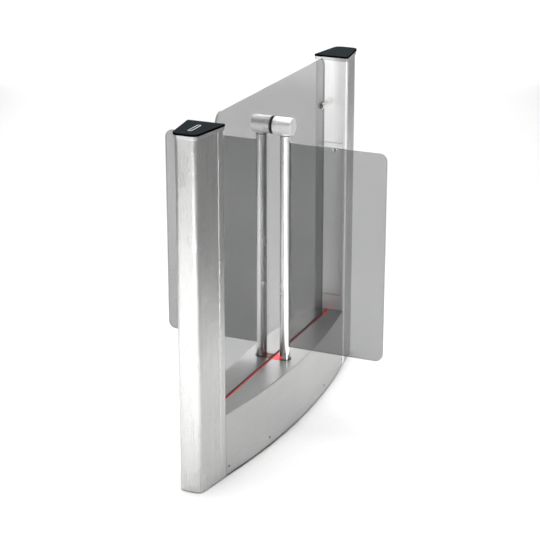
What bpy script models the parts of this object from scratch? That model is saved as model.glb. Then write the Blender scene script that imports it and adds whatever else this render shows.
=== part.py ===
"""Swing barrier gate that stands between two lanes.

Two hollow posts stand at the ends of a low bowed base. A fixed glass pane stands on a
light line in the middle of the base. Two columns turn in the base and in a pair of
heads clamped to the pane, and each column swings its own glass wing.

Metres, +Z up. X runs across the lanes, Y runs along the base, and the floor is z = 0.
"""

import math

import bmesh
import bpy
from mathutils import Matrix, Vector

# Fits
SEAT_GAP = 0.0003
RUNNING_GAP = 0.0008
CUT_OVERRUN = 0.004

# Facets of round pieces
ROUND_STEPS = 32
HIDDEN_STEPS = 20
SMALL_STEPS = 12
CORNER_STEPS = 6
BOW_STEPS = 24
SHARP_ANGLE = math.radians(35)

# Posts: the section is a trapezoid whose wide face looks at the middle of the gate
POST_TOP = 1.000
FACE_Y = 0.433
FACE_HALF_WIDTH = 0.0496
BACK_HALF_WIDTH = 0.0310
POST_DEPTH = 0.1245
FACE_CORNER_RADIUS = 0.0025
BACK_CORNER_RADIUS = 0.015
POST_FOOT = 0.0025
SHELL_WALL = 0.003
FACE_SHEET = 0.002
RETURN_WIDTH = 0.021
JOGGLE_WIDTH = 0.0045
TONGUE_WIDTH = 0.010

# Core inside each post
CORE_HALF_WIDTH = 0.020
CORE_DEPTH = 0.040
CORE_BACK_GAP = 0.0165
CORE_WALL = 0.003
CORE_TOP_DROP = 0.0234

# Collar and cap on each post
COLLAR_HEIGHT = 0.010
COLLAR_OVERHANG = 0.003
COLLAR_RIM = 0.012
CAP_THICKNESS = 0.006
CAP_OVERHANG = 0.0045
CAP_EDGE_BEVEL = 0.0008
CAP_PLUG_DEPTH = 0.007

# Status window on the near cap
STATUS_FROM_BACK = 0.0585
STATUS_LENGTH = 0.062
STATUS_WIDTH = 0.011
STATUS_RIM = 0.0028
STATUS_POCKET = 0.0015
STATUS_PROUD = 0.0005
STATUS_BOARD_THICKNESS = 0.0016
STATUS_BOARD_MARGIN = 0.002
STATUS_LAMP_HEIGHT = 0.004
STATUS_LAMP_SIZE = 0.008

# Base between the posts
BASE_TOP = 0.1867
BOW_SAGITTA = 0.038
COVER_FOOT = 0.006
COVER_SHEET = 0.002
COVER_EDGE_BEVEL = 0.0012
COVER_FLANGE = 0.0127
PLATE_THICKNESS = 0.006
PLATE_INSET = 0.004
PLATE_TONGUE_FRONT_MARGIN = 0.0136
PLATE_TONGUE_BACK_MARGIN = 0.009
PLATE_TONGUE_END_MARGIN = 0.007
ANCHOR_RADIUS = 0.006
ANCHOR_X = 0.045
ANCHOR_Y = 0.290

# Pane, its channel and the light line
GLASS_THICKNESS = 0.006
PANE_RISE = 0.009
PANE_END_GAP = 0.058
PANE_CORNER_RADIUS = 0.032
CHANNEL_WALL = 0.0012
CHANNEL_DROP = 0.0004
CHANNEL_POCKET = 0.003
CHANNEL_DEPTH = 0.0115
LIGHT_HALF_WIDTH = 0.0021
LIGHT_HEIGHT = 0.0054

# Pins that hold the pane's upper corners
PIN_DROP = 0.1475
PIN_RADIUS = 0.010
PIN_GRIP = 0.023
PIN_CHAMFER = 0.0008
PIN_STUD_RADIUS = 0.004
PIN_STUD_LENGTH = 0.012

# Columns
AXIS_X = 0.0372
TUBE_RADIUS = 0.0155
TUBE_WALL = 0.002
TUBE_END_BEVEL = 0.0003

# Wings
WING_FOOT_RISE = 0.0384
WING_TOP_DROP = 0.0200
WING_REACH = 0.3041
WING_INNER_REACH = 0.009
WING_CORNER_RADIUS = 0.024

# Bezels round the columns' feet
BEZEL_MARGIN = 0.0035
BEZEL_PROUD = 0.0006
BEZEL_LIP = 0.003
BEZEL_LIP_THICKNESS = 0.002

# Heads that carry the columns' upper ends
HEAD_DROP = 0.1202
HEAD_SEAT_PROUD = 0.0005
HEAD_RADIUS = 0.025
HEAD_INNER_REACH = 0.0169
HEAD_OUTER_REACH = 0.0226
HEAD_CHAMFER = 0.0008
HEAD_SEAT_DROP = 0.012
HEAD_RIM = 0.0026
HEAD_CAP_THICKNESS = 0.004
HEAD_CAP_CHAMFER = 0.001
GASKET_PROUD = 0.0004
GASKET_THICKNESS = 0.0008
BOLT_RADIUS = 0.005
BOLT_GRIP = 0.0047
BUSH_WALL = 0.0022
BUSH_FLANGE_MARGIN = 0.0004
BUSH_FLANGE_THICKNESS = 0.0012
BUSH_HEIGHT = 0.022
PLUG_PIN_RADIUS = 0.008

# Drives in the base
BRACKET_DROP = 0.0527
BRACKET_SHEET = 0.005
BRACKET_HALF_WIDTH = 0.070
BRACKET_LEG_Y = 0.112
BRACKET_FOOT_Y = 0.150
BRACKET_BEND_RADIUS = 0.008
BEARING_FLANGE_INSET = 0.005
BEARING_FLANGE_HEIGHT = 0.008
BEARING_BOSS_WALL = 0.010
BEARING_HEIGHT = 0.020
SPINDLE_RADIUS = 0.010
SPINDLE_DEPTH_IN_GEARBOX = 0.013
TUBE_FOOT_CLEARANCE = 0.003
GEARBOX_MID_GAP = 0.0062
GEARBOX_HEIGHT = 0.028
GEARBOX_STEP = 0.003
MOTOR_INSET = 0.002
MOTOR_FLOOR_GAP = 0.0261
MOTOR_CHAMFER = 0.002
MOTOR_PLUG_SIZE = 0.016
MOTOR_PLUG_REACH = 0.010

# Service door in the far post
DOOR_SIDE_MARGIN = 0.0106
DOOR_FOOT_RISE = 0.0493
DOOR_TOP_DROP = 0.270
DOOR_SHEET = 0.0015
DOOR_ROLL_RADIUS = 0.003
DOOR_FRAME_RIM = 0.0057
DOOR_FRAME_LIP = 0.003
DOOR_FRAME_LIP_THICKNESS = 0.002
DOOR_PIN_RADIUS = 0.001

# Lock in the service door
LOCK_FROM_EDGE = 0.0263
LOCK_BELOW_DOOR_TOP = 0.0227
LOCK_RADIUS = 0.007
LOCK_PROUD = 0.0012
LOCK_BARREL_RADIUS = 0.0055
LOCK_CAM_HALF_WIDTH = 0.004
LOCK_CAM_THICKNESS = 0.002
LOCK_KEYWAY_LENGTH = 0.006
LOCK_KEYWAY_WIDTH = 0.0012
LOCK_KEYWAY_DEPTH = 0.003

# Electronics behind the service door
BOARD_HALF_WIDTH = 0.028
BOARD_THICKNESS = 0.0016
BOARD_STANDOFF = 0.008
BOARD_STANDOFF_RADIUS = 0.003
BOARD_STANDOFF_INSET = 0.006
BOARD_FOOT_GAP = 0.030
BOARD_TOP_GAP = 0.040
SUPPLY_HALF_WIDTH = 0.026
SUPPLY_FRONT_GAP = 0.0199
SUPPLY_FOOT_GAP = 0.024
SUPPLY_HEIGHT = 0.140
SUPPLY_VENT_WIDTH = 0.002
SUPPLY_VENT_DEPTH = 0.002
SUPPLY_VENT_COUNT = 6

# Components on the control board, low and high corners as shares of its width and height,
# with the share of the standoff height that each one rises
BOARD_COMPONENT_SHARES = (
    (0.08, 0.10, 0.42, 0.22, 1.6),
    (0.55, 0.10, 0.92, 0.30, 1.2),
    (0.12, 0.34, 0.36, 0.46, 0.9),
    (0.55, 0.40, 0.88, 0.56, 0.5),
    (0.10, 0.60, 0.50, 0.68, 1.4),
    (0.62, 0.66, 0.90, 0.86, 1.8),
    (0.12, 0.80, 0.52, 0.90, 1.1),
)

# Values that follow from the ones above
BACK_Y = FACE_Y + POST_DEPTH
CORE_FRONT_Y = BACK_Y - SHELL_WALL - CORE_BACK_GAP - CORE_DEPTH
STATUS_Y = BACK_Y - STATUS_FROM_BACK
PLATE_TONGUE_FRONT_HALF = FACE_HALF_WIDTH - PLATE_TONGUE_FRONT_MARGIN
PLATE_TONGUE_BACK_HALF = BACK_HALF_WIDTH - PLATE_TONGUE_BACK_MARGIN
TAPER = math.atan((FACE_HALF_WIDTH - BACK_HALF_WIDTH) / POST_DEPTH)
COLLAR_TOP = POST_TOP - CAP_THICKNESS - SEAT_GAP
COLLAR_FOOT = COLLAR_TOP - COLLAR_HEIGHT
SHELL_TOP = COLLAR_FOOT - SEAT_GAP
CORE_TOP = SHELL_TOP - CORE_TOP_DROP
PANE_TOP = POST_TOP + PANE_RISE
PANE_HALF_LENGTH = FACE_Y - PANE_END_GAP
PIN_Z = PANE_TOP - PIN_DROP
PIN_LENGTH = PANE_END_GAP + PIN_GRIP
HEAD_Z = PANE_TOP - HEAD_DROP
GLASS_HALF = GLASS_THICKNESS / 2
GLASS_SLOT_HALF = GLASS_HALF + SEAT_GAP
CHANNEL_HALF = GLASS_SLOT_HALF + CHANNEL_WALL
GROOVE_HALF = CHANNEL_HALF + SEAT_GAP
PANE_FOOT = BASE_TOP - CHANNEL_POCKET + SEAT_GAP
BOW_RADIUS = (FACE_Y**2 + BOW_SAGITTA**2) / (2 * BOW_SAGITTA)
TUBE_BORE = TUBE_RADIUS - TUBE_WALL
INSERT_RADIUS = TUBE_BORE - SEAT_GAP
BEZEL_RADIUS = TUBE_RADIUS + BEZEL_MARGIN
BRACKET_TOP = BASE_TOP - BRACKET_DROP
BEARING_TOP = BRACKET_TOP + SEAT_GAP + BEARING_HEIGHT
TUBE_FOOT = BEARING_TOP + TUBE_FOOT_CLEARANCE
GEARBOX_RADIUS = AXIS_X - GEARBOX_MID_GAP
MOTOR_RADIUS = GEARBOX_RADIUS - MOTOR_INSET
BEARING_FLANGE_RADIUS = GEARBOX_RADIUS - BEARING_FLANGE_INSET
BEARING_BOSS_RADIUS = SPINDLE_RADIUS + BEARING_BOSS_WALL
GEARBOX_TOP = BRACKET_TOP - BRACKET_SHEET - SEAT_GAP
MOTOR_TOP = GEARBOX_TOP - GEARBOX_HEIGHT - SEAT_GAP
MOTOR_FOOT = PLATE_THICKNESS + SEAT_GAP + MOTOR_FLOOR_GAP
HEAD_SEAT = HEAD_Z - HEAD_RADIUS - HEAD_SEAT_PROUD
HEAD_INNER_X = AXIS_X - HEAD_INNER_REACH
HEAD_OUTER_X = AXIS_X + HEAD_OUTER_REACH
HEAD_CAP_RADIUS = HEAD_RADIUS - HEAD_RIM
GASKET_RADIUS = HEAD_RADIUS + GASKET_PROUD
BOLT_HALF_LENGTH = HEAD_INNER_X + BOLT_GRIP
BUSH_FLANGE_RADIUS = TUBE_RADIUS + BUSH_FLANGE_MARGIN
BUSH_FOOT = HEAD_SEAT - SEAT_GAP - BUSH_FLANGE_THICKNESS
TUBE_TOP = BUSH_FOOT - SEAT_GAP
WING_LOW = BASE_TOP + WING_FOOT_RISE
WING_HIGH = TUBE_TOP - WING_TOP_DROP
WING_OUTER_X = AXIS_X + WING_REACH
BUSH_TOP = BUSH_FOOT + BUSH_HEIGHT
BUSH_RADIUS = PLUG_PIN_RADIUS + SEAT_GAP + BUSH_WALL
RING_INNER_X = GLASS_HALF + SEAT_GAP + GASKET_THICKNESS + SEAT_GAP
DOOR_HALF_WIDTH = FACE_HALF_WIDTH - DOOR_SIDE_MARGIN
DOOR_AXIS_X = DOOR_ROLL_RADIUS - DOOR_HALF_WIDTH
DOOR_AXIS_Y = FACE_Y + DOOR_ROLL_RADIUS
DOOR_BACK_Y = DOOR_AXIS_Y + DOOR_ROLL_RADIUS
DOOR_LIP_Y = DOOR_BACK_Y + RUNNING_GAP
DOOR_FRAME_BACK_Y = DOOR_LIP_Y + DOOR_FRAME_LIP_THICKNESS
DOOR_LOW = BASE_TOP + DOOR_FOOT_RISE
DOOR_HIGH = POST_TOP - DOOR_TOP_DROP
LOCK_X = DOOR_HALF_WIDTH - LOCK_FROM_EDGE
LOCK_Z = DOOR_HIGH - LOCK_BELOW_DOOR_TOP
LOCK_CAM_LENGTH = LOCK_FROM_EDGE - SEAT_GAP
SUPPLY_FRONT_Y = DOOR_FRAME_BACK_Y + SUPPLY_FRONT_GAP
SUPPLY_LOW = DOOR_LOW + SUPPLY_FOOT_GAP
SUPPLY_HIGH = SUPPLY_LOW + SUPPLY_HEIGHT
BOARD_LOW = SUPPLY_HIGH + BOARD_FOOT_GAP
BOARD_HIGH = DOOR_HIGH - BOARD_TOP_GAP

PARTS = "swing_barrier_gate"
CUTTERS = "cutters"

# Colour, roughness and metallic value of each finish
FINISHES = {
    "brushed_steel": ((0.62, 0.63, 0.62, 1), 0.34, 1.0),
    "satin_aluminium": ((0.74, 0.75, 0.75, 1), 0.38, 1.0),
    "polished_steel": ((0.80, 0.81, 0.81, 1), 0.16, 1.0),
    "dark_steel": ((0.06, 0.065, 0.07, 1), 0.55, 0.6),
    "zinc_steel": ((0.55, 0.56, 0.57, 1), 0.45, 1.0),
    "cap_slate": ((0.034, 0.040, 0.041, 1), 0.42, 0.0),
    "black_plastic": ((0.012, 0.012, 0.013, 1), 0.5, 0.0),
    "black_rubber": ((0.010, 0.010, 0.010, 1), 0.8, 0.0),
    "white_plastic": ((0.85, 0.85, 0.84, 1), 0.4, 0.0),
    "bush_plastic": ((0.020, 0.020, 0.022, 1), 0.45, 0.0),
    "red_light": ((0.90, 0.0, 0.01, 1), 0.3, 0.0),
    "smoked_glass": ((0.45, 0.48, 0.47, 0.45), 0.05, 0.0),
    "circuit_board": ((0.02, 0.16, 0.07, 1), 0.5, 0.0),
    "motor_black": ((0.03, 0.03, 0.035, 1), 0.5, 0.3),
}


# Scene and materials


def clear_scene():
    for old in list(bpy.data.objects):
        bpy.data.objects.remove(old, do_unlink=True)


def new_collection(name, hidden):
    made = bpy.data.collections.new(name)
    made.hide_render = hidden
    bpy.context.scene.collection.children.link(made)


def new_material(name, finish):
    """A Principled material of one finish for one sub-part."""
    colour, roughness, metallic = FINISHES[finish]
    material = bpy.data.materials.new(name)
    material.use_nodes = True
    shader = material.node_tree.nodes["Principled BSDF"]
    shader.inputs["Base Color"].default_value = colour
    shader.inputs["Roughness"].default_value = roughness
    shader.inputs["Metallic"].default_value = metallic
    shader.inputs["Alpha"].default_value = colour[3]
    material.diffuse_color = colour
    return material


def new_object(name, mesh):
    made = bpy.data.objects.new(name, mesh)
    bpy.data.collections[PARTS].objects.link(made)
    return made


def finish_part(part, finish, axis=None):
    """Gives a sub-part its material and, if it moves, the empty on its joint's axis."""
    part.data.materials.clear()
    part.data.materials.append(new_material(part.name + "_finish", finish))
    if axis:
        part.parent = axis
        part.matrix_parent_inverse = axis.matrix_basis.inverted()
    return part


def axis_empty(name, location):
    empty = bpy.data.objects.new(name, None)
    empty.location = location
    bpy.data.collections[PARTS].objects.link(empty)
    return empty


# Plan outlines


def rounded_path(corners, radii, closed=True):
    """A path through the corners, with an arc in place of each corner that has a radius."""
    path = []
    for index, (corner, radius) in enumerate(zip(corners, radii)):
        here = Vector(corner)
        inner = closed or 0 < index < len(corners) - 1
        if not (radius and inner):
            path.append(here)
            continue
        to_before = (Vector(corners[index - 1]) - here).normalized()
        to_after = (Vector(corners[(index + 1) % len(corners)]) - here).normalized()
        half_angle = to_before.angle(to_after) / 2
        centre = here + (to_before + to_after).normalized() * (radius / math.sin(half_angle))
        reach = radius / math.tan(half_angle)
        start = here + to_before * reach - centre
        end = here + to_after * reach - centre
        turn = math.pi - 2 * half_angle
        for step in range(CORNER_STEPS + 1):
            share = step / CORNER_STEPS
            first = math.sin((1 - share) * turn) / math.sin(turn)
            second = math.sin(share * turn) / math.sin(turn)
            path.append(centre + start * first + end * second)
    return path


def circle(radius, centre=(0, 0), steps=ROUND_STEPS):
    turns = [2 * math.pi * step / steps for step in range(steps)]
    return [(centre[0] + radius * math.cos(t), centre[1] + radius * math.sin(t)) for t in turns]


def half_round(radius, centre, facing, steps=ROUND_STEPS // 2):
    """Points of a half circle that bulges towards the facing angle, anticlockwise."""
    turns = [facing - math.pi / 2 + math.pi * step / steps for step in range(steps + 1)]
    return [(centre[0] + radius * math.cos(t), centre[1] + radius * math.sin(t)) for t in turns]


def stadium_along_y(half_length, radius, centre_y):
    straight = half_length - radius
    far_end = half_round(radius, (0, centre_y + straight), math.pi / 2)
    near_end = half_round(radius, (0, centre_y - straight), -math.pi / 2)
    return far_end + near_end


def mirrored(path):
    """The path on the other side of y = 0, still anticlockwise."""
    return [(x, -y) for x, y in reversed([tuple(point) for point in path])]


def placed(path, side):
    return path if side > 0 else mirrored(path)


def post_half_width(y, offset=0):
    """Half the section's width at a depth y, with the side planes moved out by the offset."""
    return FACE_HALF_WIDTH - (y - FACE_Y) * math.tan(TAPER) + offset / math.cos(TAPER)


def post_outline(offset):
    """A post's section on the far side, grown outwards by the offset."""
    front = FACE_Y - offset
    back = BACK_Y + offset
    front_half = post_half_width(front, offset)
    back_half = post_half_width(back, offset)
    front_radius = max(FACE_CORNER_RADIUS + offset, 0)
    back_radius = max(BACK_CORNER_RADIUS + offset, 0)
    corners = [(front_half, front), (back_half, back), (-back_half, back), (-front_half, front)]
    return rounded_path(corners, [front_radius, back_radius, back_radius, front_radius])


def side_point(along, inward):
    """A point on a post's right side: so far along it from the wide corner, so far inside."""
    towards_back = Vector((-math.sin(TAPER), math.cos(TAPER)))
    outward = Vector((math.cos(TAPER), math.sin(TAPER)))
    return Vector((FACE_HALF_WIDTH, FACE_Y)) + towards_back * along - outward * inward


def bow_half_width(y):
    """The base's outline: an arc from one post's wide corner to the other's."""
    return FACE_HALF_WIDTH + BOW_SAGITTA - BOW_RADIUS + math.sqrt(BOW_RADIUS**2 - y**2)


def bow_points(half_length, inset):
    """Points of the bow on the +X side, from the near end to the far end."""
    rows = [-half_length + 2 * half_length * step / BOW_STEPS for step in range(BOW_STEPS + 1)]
    return [(bow_half_width(y) - inset, y) for y in rows]


# Solids


def smooth(mesh):
    mesh.shade_smooth()
    mesh.set_sharp_from_angle(angle=SHARP_ANGLE)


def evaluated_mesh(guide):
    """The mesh that a guide's curve or modifiers make, with its doubles merged."""
    bpy.context.view_layer.update()
    graph = bpy.context.evaluated_depsgraph_get()
    mesh = bpy.data.meshes.new_from_object(guide.evaluated_get(graph))
    mesh.transform(guide.matrix_world)
    data = guide.data
    bpy.data.objects.remove(guide)
    if isinstance(data, bpy.types.Curve):
        bpy.data.curves.remove(data)
    else:
        bpy.data.meshes.remove(data)
    edit = bmesh.new()
    edit.from_mesh(mesh)
    bmesh.ops.remove_doubles(edit, verts=edit.verts, dist=SEAT_GAP / 100)
    edit.to_mesh(mesh)
    edit.free()
    smooth(mesh)
    return mesh


# The world directions of a flat outline's two axes and of its thickness
PLANES = {
    "XY": Matrix(((1, 0, 0), (0, 1, 0), (0, 0, 1))),
    "YZ": Matrix(((0, 0, 1), (1, 0, 0), (0, 1, 0))),
    "XZ": Matrix(((1, 0, 0), (0, 0, -1), (0, 1, 0))),
}


def plate(name, outlines, low, high, plane="XY"):
    """A flat solid between two heights over its plane; every outline after the first is a hole."""
    curve = bpy.data.curves.new(name, "CURVE")
    curve.dimensions = "2D"
    curve.fill_mode = "BOTH"
    curve.extrude = (high - low) / 2
    for outline in outlines:
        spline = curve.splines.new("POLY")
        spline.points.add(len(outline) - 1)
        for point, place in zip(spline.points, outline):
            point.co = (place[0], place[1], 0, 1)
        spline.use_cyclic_u = True
    guide = new_object(name + "_outline", curve)
    middle = (low + high) / 2
    if plane == "XZ":
        middle = -middle
    guide.matrix_world = PLANES[plane].to_4x4() @ Matrix.Translation((0, 0, middle))
    return new_object(name, evaluated_mesh(guide))


def box(name, low, high):
    mesh = bpy.data.meshes.new(name)
    edit = bmesh.new()
    bmesh.ops.create_cube(edit, size=1)
    size = Vector(high) - Vector(low)
    middle = (Vector(high) + Vector(low)) / 2
    bmesh.ops.scale(edit, vec=size, verts=edit.verts)
    bmesh.ops.translate(edit, vec=middle, verts=edit.verts)
    edit.to_mesh(mesh)
    edit.free()
    return new_object(name, mesh)


def rod(name, radius, start, end, steps=ROUND_STEPS):
    """A plain cylinder from one point to another."""
    start = Vector(start)
    along = Vector(end) - start
    mesh = bpy.data.meshes.new(name)
    edit = bmesh.new()
    bmesh.ops.create_cone(
        edit, cap_ends=True, segments=steps, radius1=radius, radius2=radius, depth=along.length
    )
    turn = along.to_track_quat("Z", "Y").to_matrix().to_4x4()
    bmesh.ops.transform(edit, matrix=Matrix.Translation(start + along / 2) @ turn, verts=edit.verts)
    edit.to_mesh(mesh)
    edit.free()
    smooth(mesh)
    return new_object(name, mesh)


def turned(name, profile, origin=(0, 0, 0), direction=(0, 0, 1), ring=False, steps=ROUND_STEPS):
    """A profile of (radius, height) points, top to bottom, turned about an axis through origin."""
    mesh = bpy.data.meshes.new(name + "_profile")
    links = [(index, index + 1) for index in range(len(profile) - 1)]
    if ring:
        links.append((len(profile) - 1, 0))
    mesh.from_pydata([(radius, 0, height) for radius, height in profile], links, [])
    guide = new_object(name + "_profile", mesh)
    screw = guide.modifiers.new("turn", "SCREW")
    screw.steps = steps
    screw.render_steps = steps
    screw.use_merge_vertices = True
    screw.merge_threshold = SEAT_GAP / 100
    turn = Vector(direction).to_track_quat("Z", "Y").to_matrix().to_4x4()
    guide.matrix_world = Matrix.Translation(origin) @ turn
    return new_object(name, evaluated_mesh(guide))


def strip(name, path, low, high, thickness):
    """A sheet that stands along an anticlockwise path and is thickened inwards."""
    mesh = bpy.data.meshes.new(name)
    edit = bmesh.new()
    row = [edit.verts.new((point[0], point[1], low)) for point in path]
    edges = [edit.edges.new(pair) for pair in zip(row, row[1:])]
    raised = bmesh.ops.extrude_edge_only(edit, edges=edges)["geom"]
    lifted = [item for item in raised if isinstance(item, bmesh.types.BMVert)]
    bmesh.ops.translate(edit, vec=(0, 0, high - low), verts=lifted)
    edit.normal_update()
    turn_faces_outwards(edit, edges[0], path)
    edit.to_mesh(mesh)
    edit.free()
    smooth(mesh)
    sheet = new_object(name, mesh)
    solidify = sheet.modifiers.new("sheet", "SOLIDIFY")
    solidify.thickness = thickness
    solidify.offset = -1
    solidify.use_even_offset = True
    return sheet


def turn_faces_outwards(edit, first_edge, path):
    """Flips the strip's faces if the first one looks to the left of the path."""
    along = Vector(path[1]) - Vector(path[0])
    right = Vector((along.y, -along.x, 0))
    if first_edge.link_faces[0].normal.dot(right) < 0:
        bmesh.ops.reverse_faces(edit, faces=edit.faces)


def bevel_edges(part, width, chosen, segments=2):
    """Bevels the edges whose two end points both pass the test."""
    mesh = part.data
    weights = mesh.attributes.new("bevel_weight_edge", "FLOAT", "EDGE")
    for edge in mesh.edges:
        ends = [mesh.vertices[index].co for index in edge.vertices]
        weights.data[edge.index].value = float(all(chosen(end) for end in ends))
    bevel = part.modifiers.new("edge", "BEVEL")
    bevel.limit_method = "WEIGHT"
    bevel.width = width
    bevel.segments = segments
    return part


def use_as_cutter(tool):
    bpy.data.collections[PARTS].objects.unlink(tool)
    bpy.data.collections[CUTTERS].objects.link(tool)
    tool.hide_render = True
    tool.display_type = "WIRE"


def boolean(part, tool, operation):
    use_as_cutter(tool)
    modifier = part.modifiers.new(tool.name, "BOOLEAN")
    modifier.operation = operation
    modifier.solver = "EXACT"
    modifier.object = tool


def cut(part, *tools):
    for tool in tools:
        boolean(part, tool, "DIFFERENCE")
    return part


def join(part, *tools):
    for tool in tools:
        boolean(part, tool, "UNION")
    return part


# Posts


def post_name(side):
    return "far" if side > 0 else "near"


def build_post_shell(side):
    """The outer shell: from the seam on one side, round the back, to the seam on the other."""
    seam = RETURN_WIDTH + JOGGLE_WIDTH + SEAT_GAP
    right_seam = side_point(seam, 0)
    left_seam = Vector((-right_seam.x, right_seam.y))
    corners = [right_seam, (BACK_HALF_WIDTH, BACK_Y), (-BACK_HALF_WIDTH, BACK_Y), left_seam]
    path = rounded_path(corners, [0, BACK_CORNER_RADIUS, BACK_CORNER_RADIUS, 0], closed=False)
    shell = strip(f"{post_name(side)}_post_shell", placed(path, side), POST_FOOT, SHELL_TOP, SHELL_WALL)
    return finish_part(shell, "brushed_steel")


def build_post_face(side):
    """The inner cover: the wide face with two returns, joggled in to slide behind the shell."""
    tongue_inset = SHELL_WALL + SEAT_GAP
    joggle_end = RETURN_WIDTH + JOGGLE_WIDTH
    right = [
        side_point(joggle_end + TONGUE_WIDTH, tongue_inset),
        side_point(joggle_end, tongue_inset),
        side_point(RETURN_WIDTH, 0),
        Vector((FACE_HALF_WIDTH, FACE_Y)),
    ]
    left = [Vector((-point.x, point.y)) for point in reversed(right)]
    radii = [0, 0, 0, FACE_CORNER_RADIUS, FACE_CORNER_RADIUS, 0, 0, 0]
    path = list(reversed(rounded_path(right + left, radii, closed=False)))
    name = f"{post_name(side)}_post_face"
    face = strip(name, placed(path, side), POST_FOOT, SHELL_TOP, FACE_SHEET)
    front = side * (FACE_Y - CUT_OVERRUN)
    behind = side * (FACE_Y + FACE_SHEET + CUT_OVERRUN)
    notch_half = PLATE_TONGUE_FRONT_HALF + RUNNING_GAP
    notch = box(
        name + "_notch",
        (-notch_half, min(front, behind), -CUT_OVERRUN),
        (notch_half, max(front, behind), PLATE_THICKNESS + SEAT_GAP),
    )
    stud_hole = rod(name + "_stud_hole", PIN_STUD_RADIUS + SEAT_GAP, (0, front, PIN_Z), (0, behind, PIN_Z))
    cut(face, notch, stud_hole)
    if side > 0:
        window_half = DOOR_HALF_WIDTH + RUNNING_GAP
        window = box(
            name + "_window",
            (-window_half, front, DOOR_LOW - RUNNING_GAP),
            (window_half, behind, DOOR_HIGH + RUNNING_GAP),
        )
        cut(face, window)
    return finish_part(face, "brushed_steel")


def build_post_core(side):
    """A square steel tube on the floor plate, in the back of the post."""
    outer = rectangle(CORE_HALF_WIDTH, CORE_FRONT_Y, CORE_FRONT_Y + CORE_DEPTH)
    inner_half = CORE_HALF_WIDTH - CORE_WALL
    inner = rectangle(inner_half, CORE_FRONT_Y + CORE_WALL, CORE_FRONT_Y + CORE_DEPTH - CORE_WALL)
    outlines = [placed(outer, side), placed(inner, side)]
    core = plate(f"{post_name(side)}_post_core", outlines, PLATE_THICKNESS + SEAT_GAP, CORE_TOP)
    return finish_part(core, "zinc_steel")


def rectangle(half_width, low_y, high_y):
    return [(half_width, low_y), (half_width, high_y), (-half_width, high_y), (-half_width, low_y)]


def build_collar(side):
    outlines = [placed(post_outline(COLLAR_OVERHANG), side), placed(post_outline(-COLLAR_RIM), side)]
    collar = plate(f"{post_name(side)}_post_collar", outlines, COLLAR_FOOT, COLLAR_TOP)
    return finish_part(collar, "satin_aluminium")


def build_cap(side):
    """A slate-coloured lid with a plug below that sits inside the collar's rim."""
    name = f"{post_name(side)}_post_cap"
    cap_foot = POST_TOP - CAP_THICKNESS
    cap = plate(name, [placed(post_outline(CAP_OVERHANG), side)], cap_foot, POST_TOP)
    bevel_edges(cap, CAP_EDGE_BEVEL, lambda end: end.z > POST_TOP - SEAT_GAP)
    plug_outline = placed(post_outline(-COLLAR_RIM - SEAT_GAP), side)
    plug = plate(name + "_plug", [plug_outline], cap_foot - CAP_PLUG_DEPTH, cap_foot + SEAT_GAP)
    join(cap, plug)
    if side < 0:
        pocket_outline = status_outline(SEAT_GAP)
        pocket = plate(name + "_pocket", [pocket_outline], POST_TOP - STATUS_POCKET, POST_TOP + CUT_OVERRUN)
        cut(cap, pocket)
    return finish_part(cap, "cap_slate")


def status_outline(offset):
    half_length = STATUS_LENGTH / 2 + offset
    return stadium_along_y(half_length, STATUS_WIDTH / 2 + offset, -STATUS_Y)


def build_status_window():
    """A white rim and a black window, set in the near cap's pocket, with a lamp board below."""
    foot = POST_TOP - STATUS_POCKET + SEAT_GAP
    outlines = [status_outline(0), status_outline(-STATUS_RIM)]
    rim = plate("status_rim", outlines, foot, POST_TOP + STATUS_PROUD)
    finish_part(rim, "white_plastic")
    window = plate("status_window", [status_outline(-STATUS_RIM - SEAT_GAP)], foot, POST_TOP)
    finish_part(window, "black_plastic")
    top = POST_TOP - CAP_THICKNESS - CAP_PLUG_DEPTH - SEAT_GAP
    board_foot = top - STATUS_BOARD_THICKNESS
    board = plate("status_board", [status_outline(STATUS_BOARD_MARGIN)], board_foot, top)
    lamp_half = STATUS_LAMP_SIZE / 2
    for label, end in (("near", -1), ("far", 1)):
        middle_y = -STATUS_Y + end * STATUS_LENGTH / 4
        lamp = box(
            f"status_board_lamp_{label}",
            (-lamp_half, middle_y - lamp_half, board_foot - STATUS_LAMP_HEIGHT),
            (lamp_half, middle_y + lamp_half, board_foot + SEAT_GAP),
        )
        join(board, lamp)
    finish_part(board, "circuit_board")


# Base


def build_floor_plate():
    """One steel plate under the base, with a tongue into each post and four anchor holes."""
    neck_y = FACE_Y - PLATE_INSET
    tongue_y = BACK_Y - PLATE_TONGUE_END_MARGIN
    bow = bow_points(neck_y, PLATE_INSET)
    near = [(PLATE_TONGUE_BACK_HALF, -tongue_y), (PLATE_TONGUE_FRONT_HALF, -neck_y)]
    far = [(PLATE_TONGUE_FRONT_HALF, neck_y), (PLATE_TONGUE_BACK_HALF, tongue_y)]
    right = near + bow + far
    left = [(-x, y) for x, y in reversed(right)]
    anchors = [
        circle(ANCHOR_RADIUS, (x_side * ANCHOR_X, y_side * ANCHOR_Y), HIDDEN_STEPS)
        for x_side in (-1, 1)
        for y_side in (-1, 1)
    ]
    floor_plate = plate("floor_plate", [right + left] + anchors, 0, PLATE_THICKNESS)
    return finish_part(floor_plate, "dark_steel")


def lane_name(side):
    return "right" if side > 0 else "left"


def across(path, side):
    """The path on this side of x = 0."""
    return [(side * x, y) for x, y in path]


def stadium_half(offset, start_x):
    """Half a stadium round one column, cut off square at start_x."""
    radius = BEZEL_RADIUS + offset
    return [(start_x, -radius)] + half_round(radius, (AXIS_X, 0), 0) + [(start_x, radius)]


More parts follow.
